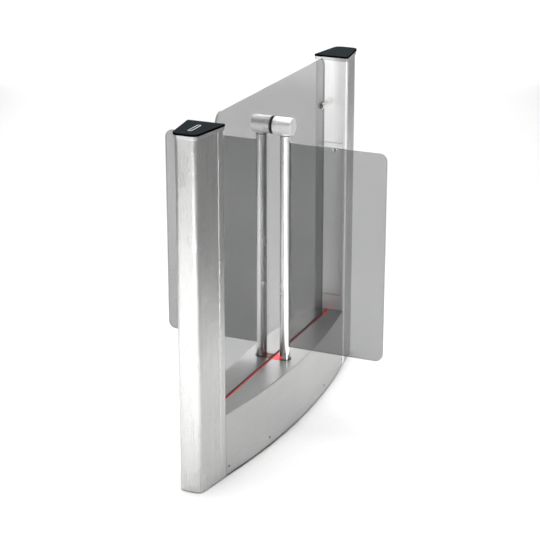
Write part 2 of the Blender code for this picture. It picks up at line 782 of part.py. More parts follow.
def build_base_cover(side):
    """Half of the base's cover: a bent sheet with the top, the bowed wall and an inner flange."""
    name = f"base_cover_{lane_name(side)}"
    half_length = FACE_Y - SEAT_GAP
    outer = [(GROOVE_HALF, -half_length)] + bow_points(half_length, 0) + [(GROOVE_HALF, half_length)]
    cover = plate(name, [across(outer, side)], COVER_FOOT, BASE_TOP)
    edge_x = GROOVE_HALF + COVER_SHEET
    bevel_edges(cover, COVER_EDGE_BEVEL, lambda end: end.z > BASE_TOP - SEAT_GAP and abs(end.x) > edge_x)
    past_end = half_length + CUT_OVERRUN
    bow_ends = bow_points(half_length, COVER_SHEET)
    start = (GROOVE_HALF + COVER_SHEET, -past_end)
    end = (GROOVE_HALF + COVER_SHEET, past_end)
    near_corner = (bow_ends[0][0], -past_end)
    far_corner = (bow_ends[-1][0], past_end)
    hollow_outline = [start, near_corner] + bow_ends + [far_corner, end]
    under_top = BASE_TOP - COVER_SHEET
    hollow = plate(name + "_hollow", [across(hollow_outline, side)], COVER_FOOT - CUT_OVERRUN, under_top)
    flange_cut_x = sorted((side * (GROOVE_HALF - CUT_OVERRUN), side * (edge_x + SEAT_GAP)))
    flange_cut = box(
        name + "_below_flange",
        (flange_cut_x[0], -past_end, COVER_FOOT - CUT_OVERRUN),
        (flange_cut_x[1], past_end, BASE_TOP - COVER_SHEET - COVER_FLANGE),
    )
    stadium_outline = across(stadium_half(SEAT_GAP, GROOVE_HALF - CUT_OVERRUN), side)
    stadium_foot = BASE_TOP - COVER_SHEET - COVER_FLANGE - CUT_OVERRUN
    stadium = plate(name + "_stadium", [stadium_outline], stadium_foot, BASE_TOP + CUT_OVERRUN)
    cut(cover, hollow, flange_cut, stadium)
    return finish_part(cover, "brushed_steel")


def build_foot_bezel(side):
    """A black insert round one column's foot, with a lip that hooks below the cover."""
    name = f"foot_bezel_{lane_name(side)}"
    hole = circle(TUBE_RADIUS + RUNNING_GAP, (AXIS_X, 0))
    lip_top = BASE_TOP - COVER_SHEET - SEAT_GAP
    lip_foot = lip_top - BEZEL_LIP_THICKNESS
    body_outlines = [across(stadium_half(0, GROOVE_HALF), side), across(hole, side)]
    bezel = plate(name, body_outlines, lip_foot, BASE_TOP + BEZEL_PROUD)
    lip_start = GROOVE_HALF + COVER_SHEET + SEAT_GAP
    lip_outlines = [across(stadium_half(BEZEL_LIP, lip_start), side), across(hole, side)]
    lip = plate(name + "_lip", lip_outlines, lip_foot, lip_top)
    join(bezel, lip)
    return finish_part(bezel, "black_plastic")


def build_pane_channel():
    """The black profile between the two covers: a pocket for the pane over one for the light."""
    top = BASE_TOP - CHANNEL_DROP
    shoulder = BASE_TOP - CHANNEL_POCKET
    light_pocket_half = LIGHT_HALF_WIDTH + SEAT_GAP
    light_floor = shoulder - SEAT_GAP - LIGHT_HEIGHT - SEAT_GAP
    foot = BASE_TOP - CHANNEL_DEPTH
    right = [
        (light_pocket_half, light_floor),
        (light_pocket_half, shoulder),
        (GLASS_SLOT_HALF, shoulder),
        (GLASS_SLOT_HALF, top),
        (CHANNEL_HALF, top),
        (CHANNEL_HALF, foot),
    ]
    left = [(-x, z) for x, z in reversed(right)]
    half_length = FACE_Y - SEAT_GAP
    channel = plate("pane_channel", [right + left], -half_length, half_length, "XZ")
    return finish_part(channel, "black_rubber")


def build_light_strip():
    top = BASE_TOP - CHANNEL_POCKET - SEAT_GAP
    half_length = FACE_Y - SEAT_GAP
    low = (-LIGHT_HALF_WIDTH, -half_length, top - LIGHT_HEIGHT)
    strip_light = box("light_strip", low, (LIGHT_HALF_WIDTH, half_length, top))
    return finish_part(strip_light, "red_light")


# Pane


def build_glass_pane():
    corners = [
        (-PANE_HALF_LENGTH, PANE_FOOT),
        (PANE_HALF_LENGTH, PANE_FOOT),
        (PANE_HALF_LENGTH, PANE_TOP),
        (-PANE_HALF_LENGTH, PANE_TOP),
    ]
    outline = rounded_path(corners, [0, 0, PANE_CORNER_RADIUS, PANE_CORNER_RADIUS])
    bolt_hole = circle(BOLT_RADIUS + SEAT_GAP, (0, HEAD_Z))
    pane = plate("glass_pane", [outline, bolt_hole], -GLASS_HALF, GLASS_HALF, "YZ")
    return finish_part(pane, "smoked_glass")


def build_pane_pin(side):
    """A turned pin on a post's wide face, slotted at its free end to grip the pane's edge."""
    name = f"{post_name(side)}_pane_pin"
    profile = [
        (0, PIN_LENGTH),
        (PIN_RADIUS - PIN_CHAMFER, PIN_LENGTH),
        (PIN_RADIUS, PIN_LENGTH - PIN_CHAMFER),
        (PIN_RADIUS, SEAT_GAP),
        (PIN_STUD_RADIUS, SEAT_GAP),
        (PIN_STUD_RADIUS, -PIN_STUD_LENGTH),
        (0, -PIN_STUD_LENGTH),
    ]
    pin = turned(name, profile, (0, side * FACE_Y, PIN_Z), (0, -side, 0))
    slot_ends = sorted((side * (FACE_Y - PIN_LENGTH - CUT_OVERRUN), side * (PANE_HALF_LENGTH + SEAT_GAP)))
    slot_reach = PIN_RADIUS + CUT_OVERRUN
    slot = box(
        name + "_slot",
        (-GLASS_SLOT_HALF, slot_ends[0], PIN_Z - slot_reach),
        (GLASS_SLOT_HALF, slot_ends[1], PIN_Z + slot_reach),
    )
    cut(pin, slot)
    return finish_part(pin, "polished_steel")


# Columns and wings


def glass_slot_box(name, side, low, high):
    """The slot for a wing's inner edge, from just inside that edge outwards."""
    ends = sorted((side * (AXIS_X + WING_INNER_REACH - SEAT_GAP), side * (AXIS_X + TUBE_RADIUS + CUT_OVERRUN)))
    return box(name, (ends[0], -GLASS_SLOT_HALF, low), (ends[1], GLASS_SLOT_HALF, high))


def build_column(side, axis):
    """The tube, its inner clamp bar, its plug and its spindle, all turning together."""
    lane = lane_name(side)
    centre = (side * AXIS_X, 0, 0)
    tube_profile = [
        (TUBE_BORE, TUBE_TOP),
        (TUBE_RADIUS - TUBE_END_BEVEL, TUBE_TOP),
        (TUBE_RADIUS, TUBE_TOP - TUBE_END_BEVEL),
        (TUBE_RADIUS, TUBE_FOOT),
        (TUBE_BORE, TUBE_FOOT),
    ]
    tube = turned(f"column_tube_{lane}", tube_profile, centre, ring=True)
    tube_slot = glass_slot_box(f"column_tube_{lane}_slot", side, WING_LOW - SEAT_GAP, WING_HIGH + SEAT_GAP)
    cut(tube, tube_slot)
    finish_part(tube, "polished_steel", axis)

    clamp_start = (side * AXIS_X, 0, WING_LOW)
    clamp_end = (side * AXIS_X, 0, WING_HIGH)
    clamp = rod(f"wing_clamp_{lane}", INSERT_RADIUS, clamp_start, clamp_end)
    clamp_slot = glass_slot_box(f"wing_clamp_{lane}_slot", side, WING_LOW - CUT_OVERRUN, WING_HIGH + CUT_OVERRUN)
    cut(clamp, clamp_slot)
    finish_part(clamp, "satin_aluminium", axis)

    plug_profile = [
        (0, BUSH_TOP - SEAT_GAP),
        (PLUG_PIN_RADIUS, BUSH_TOP - SEAT_GAP),
        (PLUG_PIN_RADIUS, TUBE_TOP - SEAT_GAP),
        (INSERT_RADIUS, TUBE_TOP - SEAT_GAP),
        (INSERT_RADIUS, WING_HIGH + SEAT_GAP),
        (0, WING_HIGH + SEAT_GAP),
    ]
    plug = turned(f"column_plug_{lane}", plug_profile, centre, steps=HIDDEN_STEPS)
    finish_part(plug, "polished_steel", axis)

    spindle_profile = [
        (0, WING_LOW - SEAT_GAP),
        (INSERT_RADIUS, WING_LOW - SEAT_GAP),
        (INSERT_RADIUS, TUBE_FOOT),
        (SPINDLE_RADIUS, TUBE_FOOT),
        (SPINDLE_RADIUS, GEARBOX_TOP - SPINDLE_DEPTH_IN_GEARBOX),
        (0, GEARBOX_TOP - SPINDLE_DEPTH_IN_GEARBOX),
    ]
    spindle = turned(f"drive_spindle_{lane}", spindle_profile, centre, steps=HIDDEN_STEPS)
    finish_part(spindle, "zinc_steel", axis)


def build_wing(side, axis):
    inner_x = AXIS_X + WING_INNER_REACH
    corners = [(inner_x, WING_LOW), (WING_OUTER_X, WING_LOW), (WING_OUTER_X, WING_HIGH), (inner_x, WING_HIGH)]
    outline = rounded_path(corners, [0, WING_CORNER_RADIUS, WING_CORNER_RADIUS, 0])
    wing = plate(f"wing_{lane_name(side)}", [across(outline, side)], -GLASS_HALF, GLASS_HALF, "XZ")
    return finish_part(wing, "smoked_glass", axis)


# Heads


def build_head(side):
    """One head: a horizontal cylinder with a round seat below, bored for the bush."""
    name = f"head_{lane_name(side)}"
    recess = HEAD_OUTER_X - HEAD_CAP_THICKNESS
    recess_radius = HEAD_CAP_RADIUS + SEAT_GAP
    bolt_bore = BOLT_RADIUS + SEAT_GAP
    bolt_floor = BOLT_HALF_LENGTH + SEAT_GAP
    profile = [
        (0, recess),
        (recess_radius, recess),
        (recess_radius, HEAD_OUTER_X - HEAD_CHAMFER),
        (recess_radius + HEAD_CHAMFER, HEAD_OUTER_X),
        (HEAD_RADIUS - HEAD_CHAMFER, HEAD_OUTER_X),
        (HEAD_RADIUS, HEAD_OUTER_X - HEAD_CHAMFER),
        (HEAD_RADIUS, HEAD_INNER_X + HEAD_CHAMFER),
        (HEAD_RADIUS - HEAD_CHAMFER, HEAD_INNER_X),
        (bolt_bore, HEAD_INNER_X),
        (bolt_bore, bolt_floor),
        (0, bolt_floor),
    ]
    head = turned(name, profile, (0, 0, HEAD_Z), (side, 0, 0))
    seat_foot = (side * AXIS_X, 0, HEAD_SEAT)
    seat_top = (side * AXIS_X, 0, HEAD_Z - HEAD_SEAT_DROP)
    seat = rod(name + "_seat", TUBE_RADIUS, seat_foot, seat_top)
    join(head, seat)
    bore = rod(
        name + "_bore",
        BUSH_RADIUS + SEAT_GAP,
        (side * AXIS_X, 0, HEAD_SEAT - CUT_OVERRUN),
        (side * AXIS_X, 0, BUSH_TOP + SEAT_GAP),
    )
    cut(head, bore)
    return finish_part(head, "polished_steel")


def build_head_trim(side):
    """The clamp ring, the gasket on the glass, the end cap and the bush of one head."""
    lane = lane_name(side)
    centre = (0, 0, HEAD_Z)
    outwards = (side, 0, 0)
    bore = BOLT_RADIUS + SEAT_GAP
    ring_outer_x = HEAD_INNER_X - SEAT_GAP
    ring_profile = [
        (bore, ring_outer_x),
        (HEAD_RADIUS - HEAD_CHAMFER, ring_outer_x),
        (HEAD_RADIUS, ring_outer_x - HEAD_CHAMFER),
        (HEAD_RADIUS, RING_INNER_X + HEAD_CHAMFER),
        (HEAD_RADIUS - HEAD_CHAMFER, RING_INNER_X),
        (bore, RING_INNER_X),
    ]
    clamp_ring = turned(f"head_ring_{lane}", ring_profile, centre, outwards, ring=True)
    finish_part(clamp_ring, "polished_steel")

    gasket_inner_x = GLASS_HALF + SEAT_GAP
    gasket_outer_x = gasket_inner_x + GASKET_THICKNESS
    gasket_profile = [
        (bore, gasket_outer_x),
        (GASKET_RADIUS, gasket_outer_x),
        (GASKET_RADIUS, gasket_inner_x),
        (bore, gasket_inner_x),
    ]
    gasket = turned(f"head_gasket_{lane}", gasket_profile, centre, outwards, ring=True)
    finish_part(gasket, "black_rubber")

    cap_foot = HEAD_OUTER_X - HEAD_CAP_THICKNESS + SEAT_GAP
    cap_profile = [
        (0, HEAD_OUTER_X),
        (HEAD_CAP_RADIUS - HEAD_CAP_CHAMFER, HEAD_OUTER_X),
        (HEAD_CAP_RADIUS, HEAD_OUTER_X - HEAD_CAP_CHAMFER),
        (HEAD_CAP_RADIUS, cap_foot),
        (0, cap_foot),
    ]
    end_cap = turned(f"head_cap_{lane}", cap_profile, centre, outwards)
    finish_part(end_cap, "polished_steel")

    bush_bore = PLUG_PIN_RADIUS + SEAT_GAP
    bush_profile = [
        (bush_bore, BUSH_TOP),
        (BUSH_RADIUS, BUSH_TOP),
        (BUSH_RADIUS, BUSH_FOOT + BUSH_FLANGE_THICKNESS),
        (BUSH_FLANGE_RADIUS, BUSH_FOOT + BUSH_FLANGE_THICKNESS),
        (BUSH_FLANGE_RADIUS, BUSH_FOOT),
        (bush_bore, BUSH_FOOT),
    ]
    bush = turned(f"upper_bush_{lane}", bush_profile, (side * AXIS_X, 0, 0), ring=True, steps=HIDDEN_STEPS)
    finish_part(bush, "bush_plastic")


def build_head_bolt():
    ends = [(side * BOLT_HALF_LENGTH, 0, HEAD_Z) for side in (-1, 1)]
    bolt = rod("head_bolt", BOLT_RADIUS, *ends, steps=HIDDEN_STEPS)
    return finish_part(bolt, "zinc_steel")


# Drives


def build_drive_bracket():
    """A bent steel bridge on the floor plate that carries both drives and lower bearings."""
    foot_top = PLATE_THICKNESS + SEAT_GAP + BRACKET_SHEET
    right = [(BRACKET_LEG_Y, BRACKET_TOP), (BRACKET_LEG_Y, foot_top), (BRACKET_FOOT_Y, foot_top)]
    left = [(-y, z) for y, z in reversed(right)]
    under = BRACKET_SHEET
    inner_right = [
        (BRACKET_LEG_Y - under, BRACKET_TOP - under),
        (BRACKET_LEG_Y - under, foot_top - under),
        (BRACKET_FOOT_Y, foot_top - under),
    ]
    inner_left = [(-y, z) for y, z in reversed(inner_right)]
    outline = left + right + list(reversed(inner_left + inner_right))
    small = BRACKET_BEND_RADIUS - under
    radii = [0, small, BRACKET_BEND_RADIUS, BRACKET_BEND_RADIUS, small, 0]
    inner_radii = [0, BRACKET_BEND_RADIUS, small, small, BRACKET_BEND_RADIUS, 0]
    path = rounded_path(outline, radii + inner_radii)
    bracket = plate("drive_bracket", [path], -BRACKET_HALF_WIDTH, BRACKET_HALF_WIDTH, "YZ")
    for side in (-1, 1):
        hole = rod(
            f"drive_bracket_hole_{lane_name(side)}",
            SPINDLE_RADIUS + RUNNING_GAP,
            (side * AXIS_X, 0, GEARBOX_TOP),
            (side * AXIS_X, 0, BRACKET_TOP + CUT_OVERRUN),
        )
        cut(bracket, hole)
    return finish_part(bracket, "zinc_steel")


def build_drive(side):
    """A motor hung below its gearbox, and the bearing that carries the column's foot."""
    lane = lane_name(side)
    centre = (side * AXIS_X, 0, 0)
    gearbox_foot = GEARBOX_TOP - GEARBOX_HEIGHT
    bore = SPINDLE_RADIUS + SEAT_GAP
    bore_floor = GEARBOX_TOP - SPINDLE_DEPTH_IN_GEARBOX - SEAT_GAP
    gearbox_profile = [
        (bore, GEARBOX_TOP),
        (GEARBOX_RADIUS, GEARBOX_TOP),
        (GEARBOX_RADIUS, gearbox_foot + GEARBOX_STEP),
        (MOTOR_RADIUS, gearbox_foot),
        (0, gearbox_foot),
        (0, bore_floor),
        (bore, bore_floor),
    ]
    gearbox = turned(f"gearbox_{lane}", gearbox_profile, centre, ring=True, steps=HIDDEN_STEPS)
    finish_part(gearbox, "satin_aluminium")

    motor_profile = [
        (0, MOTOR_TOP),
        (MOTOR_RADIUS, MOTOR_TOP),
        (MOTOR_RADIUS, MOTOR_FOOT + MOTOR_CHAMFER),
        (MOTOR_RADIUS - MOTOR_CHAMFER, MOTOR_FOOT),
        (0, MOTOR_FOOT),
    ]
    motor = turned(f"drive_motor_{lane}", motor_profile, centre, steps=HIDDEN_STEPS)
    plug_half = MOTOR_PLUG_SIZE / 2
    plug_foot = MOTOR_FOOT + MOTOR_CHAMFER
    plug = box(
        f"drive_motor_{lane}_plug",
        (side * AXIS_X - plug_half, 0, plug_foot),
        (side * AXIS_X + plug_half, MOTOR_RADIUS + MOTOR_PLUG_REACH, plug_foot + MOTOR_PLUG_SIZE),
    )
    join(motor, plug)
    finish_part(motor, "motor_black")

    bearing_foot = BRACKET_TOP + SEAT_GAP
    bearing_profile = [
        (bore, BEARING_TOP),
        (BEARING_BOSS_RADIUS, BEARING_TOP),
        (BEARING_BOSS_RADIUS, bearing_foot + BEARING_FLANGE_HEIGHT),
        (BEARING_FLANGE_RADIUS, bearing_foot + BEARING_FLANGE_HEIGHT),
        (BEARING_FLANGE_RADIUS, bearing_foot),
        (bore, bearing_foot),
    ]
    bearing = turned(f"lower_bearing_{lane}", bearing_profile, centre, ring=True, steps=HIDDEN_STEPS)
    finish_part(bearing, "zinc_steel")


# Service door


def build_door_frame():
    """A rebated frame behind the far post's face, with the two pins the door turns on."""
    name = "door_frame"
    outer_half = DOOR_HALF_WIDTH + RUNNING_GAP + DOOR_FRAME_RIM
    front = FACE_Y + FACE_SHEET + SEAT_GAP
    rim = RUNNING_GAP + DOOR_FRAME_RIM
    frame = box(
        name,
        (-outer_half, front, DOOR_LOW - rim),
        (outer_half, DOOR_FRAME_BACK_Y, DOOR_HIGH + rim),
    )
    window_half = DOOR_HALF_WIDTH + RUNNING_GAP
    rebate = box(
        name + "_rebate",
        (-window_half, front - CUT_OVERRUN, DOOR_LOW - RUNNING_GAP),
        (window_half, DOOR_LIP_Y, DOOR_HIGH + RUNNING_GAP),
    )
    lip_half = DOOR_HALF_WIDTH - DOOR_FRAME_LIP
    window = box(
        name + "_window",
        (-lip_half, front - CUT_OVERRUN, DOOR_LOW + DOOR_FRAME_LIP),
        (lip_half, DOOR_FRAME_BACK_Y + CUT_OVERRUN, DOOR_HIGH - DOOR_FRAME_LIP),
    )
    cut(frame, rebate, window)
    pin_root = RUNNING_GAP + DOOR_FRAME_RIM / 2
    for label, end, edge in (("low", -1, DOOR_LOW), ("high", 1, DOOR_HIGH)):
        pin = rod(
            f"{name}_pin_{label}",
            DOOR_PIN_RADIUS,
            (DOOR_AXIS_X, DOOR_AXIS_Y, edge - end * DOOR_SHEET),
            (DOOR_AXIS_X, DOOR_AXIS_Y, edge + end * pin_root),
            steps=SMALL_STEPS,
        )
        join(frame, pin)
    return finish_part(frame, "zinc_steel")


def build_service_door(axis):
    """A shallow tray, rolled round its pins at the left edge, with holes for pins and lock."""
    name = "service_door"
    roll = half_round(DOOR_ROLL_RADIUS, (DOOR_AXIS_X, DOOR_AXIS_Y), math.pi)
    free_edge = [(DOOR_HALF_WIDTH, FACE_Y), (DOOR_HALF_WIDTH, DOOR_BACK_Y)]
    door = plate(name, [roll + free_edge], DOOR_LOW, DOOR_HIGH)
    inner_half = DOOR_HALF_WIDTH - DOOR_SHEET
    hollow = box(
        name + "_hollow",
        (-inner_half, FACE_Y + DOOR_SHEET, DOOR_LOW + DOOR_SHEET),
        (inner_half, DOOR_BACK_Y + CUT_OVERRUN, DOOR_HIGH - DOOR_SHEET),
    )
    pin_hole = rod(
        name + "_pin_hole",
        DOOR_PIN_RADIUS + SEAT_GAP,
        (DOOR_AXIS_X, DOOR_AXIS_Y, DOOR_LOW - CUT_OVERRUN),
        (DOOR_AXIS_X, DOOR_AXIS_Y, DOOR_HIGH + CUT_OVERRUN),
        steps=SMALL_STEPS,
    )
    lock_hole = rod(
        name + "_lock_hole",
        LOCK_BARREL_RADIUS + SEAT_GAP,
        (LOCK_X, FACE_Y - CUT_OVERRUN, LOCK_Z),
        (LOCK_X, FACE_Y + CUT_OVERRUN, LOCK_Z),
    )
    cut(door, hollow, pin_hole, lock_hole)
    return finish_part(door, "brushed_steel", axis)


def build_door_lock(axis):
    """A quarter-turn lock whose cam hangs free, and swings behind the frame's lip when locked."""
    name = "door_lock"
    cam_front = DOOR_FRAME_BACK_Y + RUNNING_GAP - FACE_Y
    cam_back = cam_front + LOCK_CAM_THICKNESS
    profile = [
        (0, LOCK_PROUD + SEAT_GAP),
        (LOCK_RADIUS - SEAT_GAP, LOCK_PROUD + SEAT_GAP),
        (LOCK_RADIUS, LOCK_PROUD),
        (LOCK_RADIUS, SEAT_GAP),
        (LOCK_BARREL_RADIUS, SEAT_GAP),
        (LOCK_BARREL_RADIUS, -cam_back),
        (0, -cam_back),
    ]
    lock = turned(name, profile, (LOCK_X, FACE_Y, LOCK_Z), (0, -1, 0))
    cam = box(
        name + "_cam",
        (LOCK_X - LOCK_CAM_HALF_WIDTH, FACE_Y + cam_front, LOCK_Z - LOCK_CAM_LENGTH),
        (LOCK_X + LOCK_CAM_HALF_WIDTH, FACE_Y + cam_back, LOCK_Z + LOCK_CAM_HALF_WIDTH),
    )
    join(lock, cam)
    key_half = LOCK_KEYWAY_LENGTH / 2
    front = FACE_Y - LOCK_PROUD - SEAT_GAP
    keyway = box(
        name + "_keyway",
        (LOCK_X - LOCK_KEYWAY_WIDTH / 2, front - CUT_OVERRUN, LOCK_Z - key_half),
        (LOCK_X + LOCK_KEYWAY_WIDTH / 2, front + LOCK_KEYWAY_DEPTH, LOCK_Z + key_half),
    )
    cut(lock, keyway)
    return finish_part(lock, "polished_steel", axis)


# Electronics


def build_control_board():
    """A circuit board on four standoffs, which stand on the far post's core."""
    name = "control_board"
    back = CORE_FRONT_Y - SEAT_GAP - BOARD_STANDOFF
    front = back - BOARD_THICKNESS
    board = box(name, (-BOARD_HALF_WIDTH, front, BOARD_LOW), (BOARD_HALF_WIDTH, back, BOARD_HIGH))
    standoff_x = CORE_HALF_WIDTH - BOARD_STANDOFF_INSET
    for x_side in (-1, 1):
        for label, z in (("low", BOARD_LOW + BOARD_STANDOFF_INSET), ("high", BOARD_HIGH - BOARD_STANDOFF_INSET)):
            standoff = rod(
                f"{name}_standoff_{label}_{lane_name(x_side)}",
                BOARD_STANDOFF_RADIUS,
                (x_side * standoff_x, front + SEAT_GAP, z),
                (x_side * standoff_x, CORE_FRONT_Y - SEAT_GAP, z),
                steps=SMALL_STEPS,
            )
            join(board, standoff)
    width = 2 * BOARD_HALF_WIDTH
    height = BOARD_HIGH - BOARD_LOW
    for number, (x_low, z_low, x_high, z_high, rise) in enumerate(BOARD_COMPONENT_SHARES):
        component = box(
            f"{name}_component_{number}",
            (x_low * width - BOARD_HALF_WIDTH, front - rise * BOARD_STANDOFF, BOARD_LOW + z_low * height),
            (x_high * width - BOARD_HALF_WIDTH, front + SEAT_GAP, BOARD_LOW + z_high * height),
        )
        join(board, component)
    return finish_part(board, "circuit_board")


def build_power_supply():
    """A sheet-metal power supply on the core, with a row of vent slots in its front."""
    name = "power_supply"
    front = SUPPLY_FRONT_Y
    back = CORE_FRONT_Y - SEAT_GAP
    supply = box(name, (-SUPPLY_HALF_WIDTH, front, SUPPLY_LOW), (SUPPLY_HALF_WIDTH, back, SUPPLY_HIGH))
    vent_half = SUPPLY_HALF_WIDTH / 2
    pitch = (SUPPLY_HIGH - SUPPLY_LOW) / (SUPPLY_VENT_COUNT + 1)
    for number in range(SUPPLY_VENT_COUNT):
        middle = SUPPLY_LOW + (number + 1) * pitch
        vent = box(
            f"{name}_vent_{number}",
            (-vent_half, front - CUT_OVERRUN, middle - SUPPLY_VENT_WIDTH / 2),
            (vent_half, front + SUPPLY_VENT_DEPTH, middle + SUPPLY_VENT_WIDTH / 2),
        )
        cut(supply, vent)
    return finish_part(supply, "zinc_steel")


def main():
    clear_scene()
    new_collection(PARTS, hidden=False)
    new_collection(CUTTERS, hidden=True)
    build_floor_plate()
    for side in (-1, 1):
        build_post_shell(side)
        build_post_face(side)
        build_post_core(side)
        build_collar(side)
        build_cap(side)
        build_pane_pin(side)
    build_status_window()
    for side in (-1, 1):
        build_base_cover(side)
        build_foot_bezel(side)
        build_drive(side)
        build_head(side)
        build_head_trim(side)
        column_axis = axis_empty(f"column_axis_{lane_name(side)}", (side * AXIS_X, 0, BASE_TOP))
        build_column(side, column_axis)
        build_wing(side, column_axis)
    build_drive_bracket()
    build_pane_channel()
    build_light_strip()
    build_glass_pane()
    build_head_bolt()
    build_door_frame()
    build_control_board()
    build_power_supply()
    door_axis = axis_empty("service_door_axis", (DOOR_AXIS_X, DOOR_AXIS_Y, DOOR_LOW))
    build_service_door(door_axis)
    lock_axis = axis_empty("door_lock_axis", (LOCK_X, FACE_Y, LOCK_Z))
    build_door_lock(lock_axis)


main()
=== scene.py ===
import math

import bmesh
import bpy
import numpy as np
from mathutils import Matrix, Vector


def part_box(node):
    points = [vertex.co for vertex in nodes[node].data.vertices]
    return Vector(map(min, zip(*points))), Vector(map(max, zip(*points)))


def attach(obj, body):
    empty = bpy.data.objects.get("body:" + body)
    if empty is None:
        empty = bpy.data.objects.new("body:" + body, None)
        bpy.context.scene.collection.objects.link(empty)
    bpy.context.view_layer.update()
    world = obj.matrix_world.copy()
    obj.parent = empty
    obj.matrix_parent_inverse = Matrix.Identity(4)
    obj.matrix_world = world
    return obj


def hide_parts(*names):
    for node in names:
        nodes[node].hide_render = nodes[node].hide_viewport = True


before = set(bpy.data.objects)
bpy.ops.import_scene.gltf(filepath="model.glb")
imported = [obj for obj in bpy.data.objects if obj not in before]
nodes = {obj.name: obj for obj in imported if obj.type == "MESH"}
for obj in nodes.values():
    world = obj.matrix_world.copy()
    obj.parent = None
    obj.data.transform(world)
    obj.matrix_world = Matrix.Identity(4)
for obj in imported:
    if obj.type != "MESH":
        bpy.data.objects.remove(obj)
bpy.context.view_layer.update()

# Sizes read from the frame, in metres

POST_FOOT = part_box("near_post_shell")[0].z
SHELL_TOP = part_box("near_post_shell")[1].z
COLLAR_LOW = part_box("near_post_collar")[0].z
COLLAR_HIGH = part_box("near_post_collar")[1].z
CAP_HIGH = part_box("near_post_cap")[1].z
FACE_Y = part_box("far_post_face")[0].y
BACK_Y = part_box("far_post_shell")[1].y
CAP_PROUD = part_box("far_post_cap")[1].y - BACK_Y
RIM_LOW, RIM_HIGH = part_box("status_rim")
BASE_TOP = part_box("base_cover_left")[1].z
BASE_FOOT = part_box("base_cover_left")[0].z
BASE_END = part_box("base_cover_left")[1].y
BASE_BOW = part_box("base_cover_right")[1].x
BEZEL_LOW, BEZEL_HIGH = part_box("foot_bezel_right")
PANE_LOW, PANE_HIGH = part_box("glass_pane")
WING_LOW, WING_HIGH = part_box("wing_right")
TUBE_LOW, TUBE_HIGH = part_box("column_tube_right")
HEAD_LOW, HEAD_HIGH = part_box("head_right")
HEAD_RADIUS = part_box("head_ring_right")[1].y
HEAD_Z = HEAD_HIGH.z - HEAD_RADIUS
PIN_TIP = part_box("far_pane_pin")[0].y
DOOR_LOW, DOOR_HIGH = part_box("service_door")
LOCK_X = (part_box("door_lock")[0].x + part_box("door_lock")[1].x) / 2

# Sizes of the posts that the boxes don't give

FACE_HALF = 0.0496
BACK_HALF = 0.0310
BACK_RADIUS = 0.0150
FACE_RADIUS = 0.0025
SHELL_WALL = 0.0030
SHELL_EDGE = 0.0008
FACE_SHEET = 0.0020
FOLD_RADIUS = 0.0006
RETURN_WIDTH = 0.0210
JOGGLE_WIDTH = 0.0045
TONGUE_WIDTH = 0.0100
STEP_WIDTH = 0.0020
COLLAR_PROUD = 0.0030
COLLAR_EDGES = (0.0006, 0.0004)
CAP_THICKNESS = 0.0060
CAP_RADIUS = 0.0040
CAP_EDGES = (0.0006, 0.0012)
RING_WIDTH = 0.0018
RING_SINK = 0.0002
RING_EDGE = 0.0004
WINDOW_PLAY = 0.0001
WINDOW_PROUD = 0.0002

# Sizes of the base

GROOVE_HALF = 0.0048
COVER_SHEET = 0.0020
COVER_FLANGE = 0.0127
COVER_FLANGE_BEND = 0.0008
COVER_BEND = 0.0016
BOW_RADIUS = 2.4860
BEZEL_RADIUS = 0.0190
BEZEL_CORNER = 0.0008
BEZEL_EDGE = 0.0005
# Sizes of the red plate by the right foot, whose glow is a painted reflection
GLINT_PLATE_FROM_TUBE = 0.0014
GLINT_PLATE_FROM_BEZEL = 0.0012
GLINT_PLATE_HALF_TURN = 1.25
GLINT_PLATE_SINK = 0.0010
GLINT_PLATE_PROUD = 0.0002
GLINT_PLATE_SCREW_X = 0.0112
GLINT_PLATE_SCREW_Y = 0.0072
GLINT_PLATE_SCREW_RADIUS = 0.0016
COVER_SCREW_PLACES = (-0.42, -0.205, 0.205, 0.42)
COVER_SCREW_HEIGHT = 0.0275
COVER_SCREW_RADIUS = 0.0034

# Sizes of the glass, the columns, the heads and the pins

GLASS_HALF = 0.0030
GLASS_EDGE = 0.0009
PANE_RADIUS = 0.0320
PANE_FOOT_RADIUS = 0.0010
WING_RADIUS = 0.0240
WING_ROOT_RADIUS = 0.0008
AXIS_X = 0.0372
TUBE_RADIUS = 0.0155
TUBE_BORE = 0.0135
TUBE_EDGE = 0.0006
SLOT_LIP = 0.0004
GRUB_TURN = -1.25
GRUB_HEIGHT = 0.0200
GRUB_SINK = 0.0001
GRUB_RADIUS = 0.0021
HEAD_BORE = 0.0052
HEAD_END_EDGE = 0.0009
HEAD_RECESS = 0.0037
HEAD_RECESS_EDGE = 0.0005
HEAD_CAP_RADIUS = 0.0224
HEAD_CAP_PLAY = 0.0002
HEAD_CAP_EDGE = 0.0010
CLAMP_RING_EDGE = 0.0007
SEAT_BORE = 0.0108
SEAT_EDGE = 0.0004
SEAT_DROP = 0.0145
PIN_Z = 0.8615
PIN_RADIUS = 0.0100
PIN_EDGE = 0.0009
PIN_OVERLAP = 0.0001
PIN_SLOT_PLAY = 0.0001

# Sizes of the service door

DOOR_ROLL = 0.0030
DOOR_ROLL_EDGE = 0.0004
DOOR_REVEAL = 0.0008
DOOR_CORNER = 0.0008
DOOR_SHEET = 0.0018
DOOR_EDGE = 0.0012
DOOR_RIM_START = 0.0013
DOOR_RIM_SHEET = 0.0015
LOCK_DROP = 0.0227
LOCK_HOLE = 0.0057

# Clearance and small edges

GAP = 0.0003
FINE_EDGE = 0.0003
SEALED_EDGE = 0.0002
SHARP_EDGE = 0.0001
HIDDEN_EDGE = 0.00005
POLE_RADIUS = 0.0002

# Fineness of the surfaces

GUARD = 0.00015
HOLE_SPACING = 0.001
EDGE_STEPS = 5
ARC_STEPS = 8
POST_STEPS = 14
RING_STEPS = 16
WIDE_STEPS = 24
ROLL_STEPS = 24
FOOT_STEPS = 33
SCREW_STEPS = 36
BOW_STEPS = 36
JAW_STEPS = 48
ROUND_STEPS = 96
UP = (0.0, 0.0, 1.0)

# Grain of the metals, in noise cycles per metre on each axis

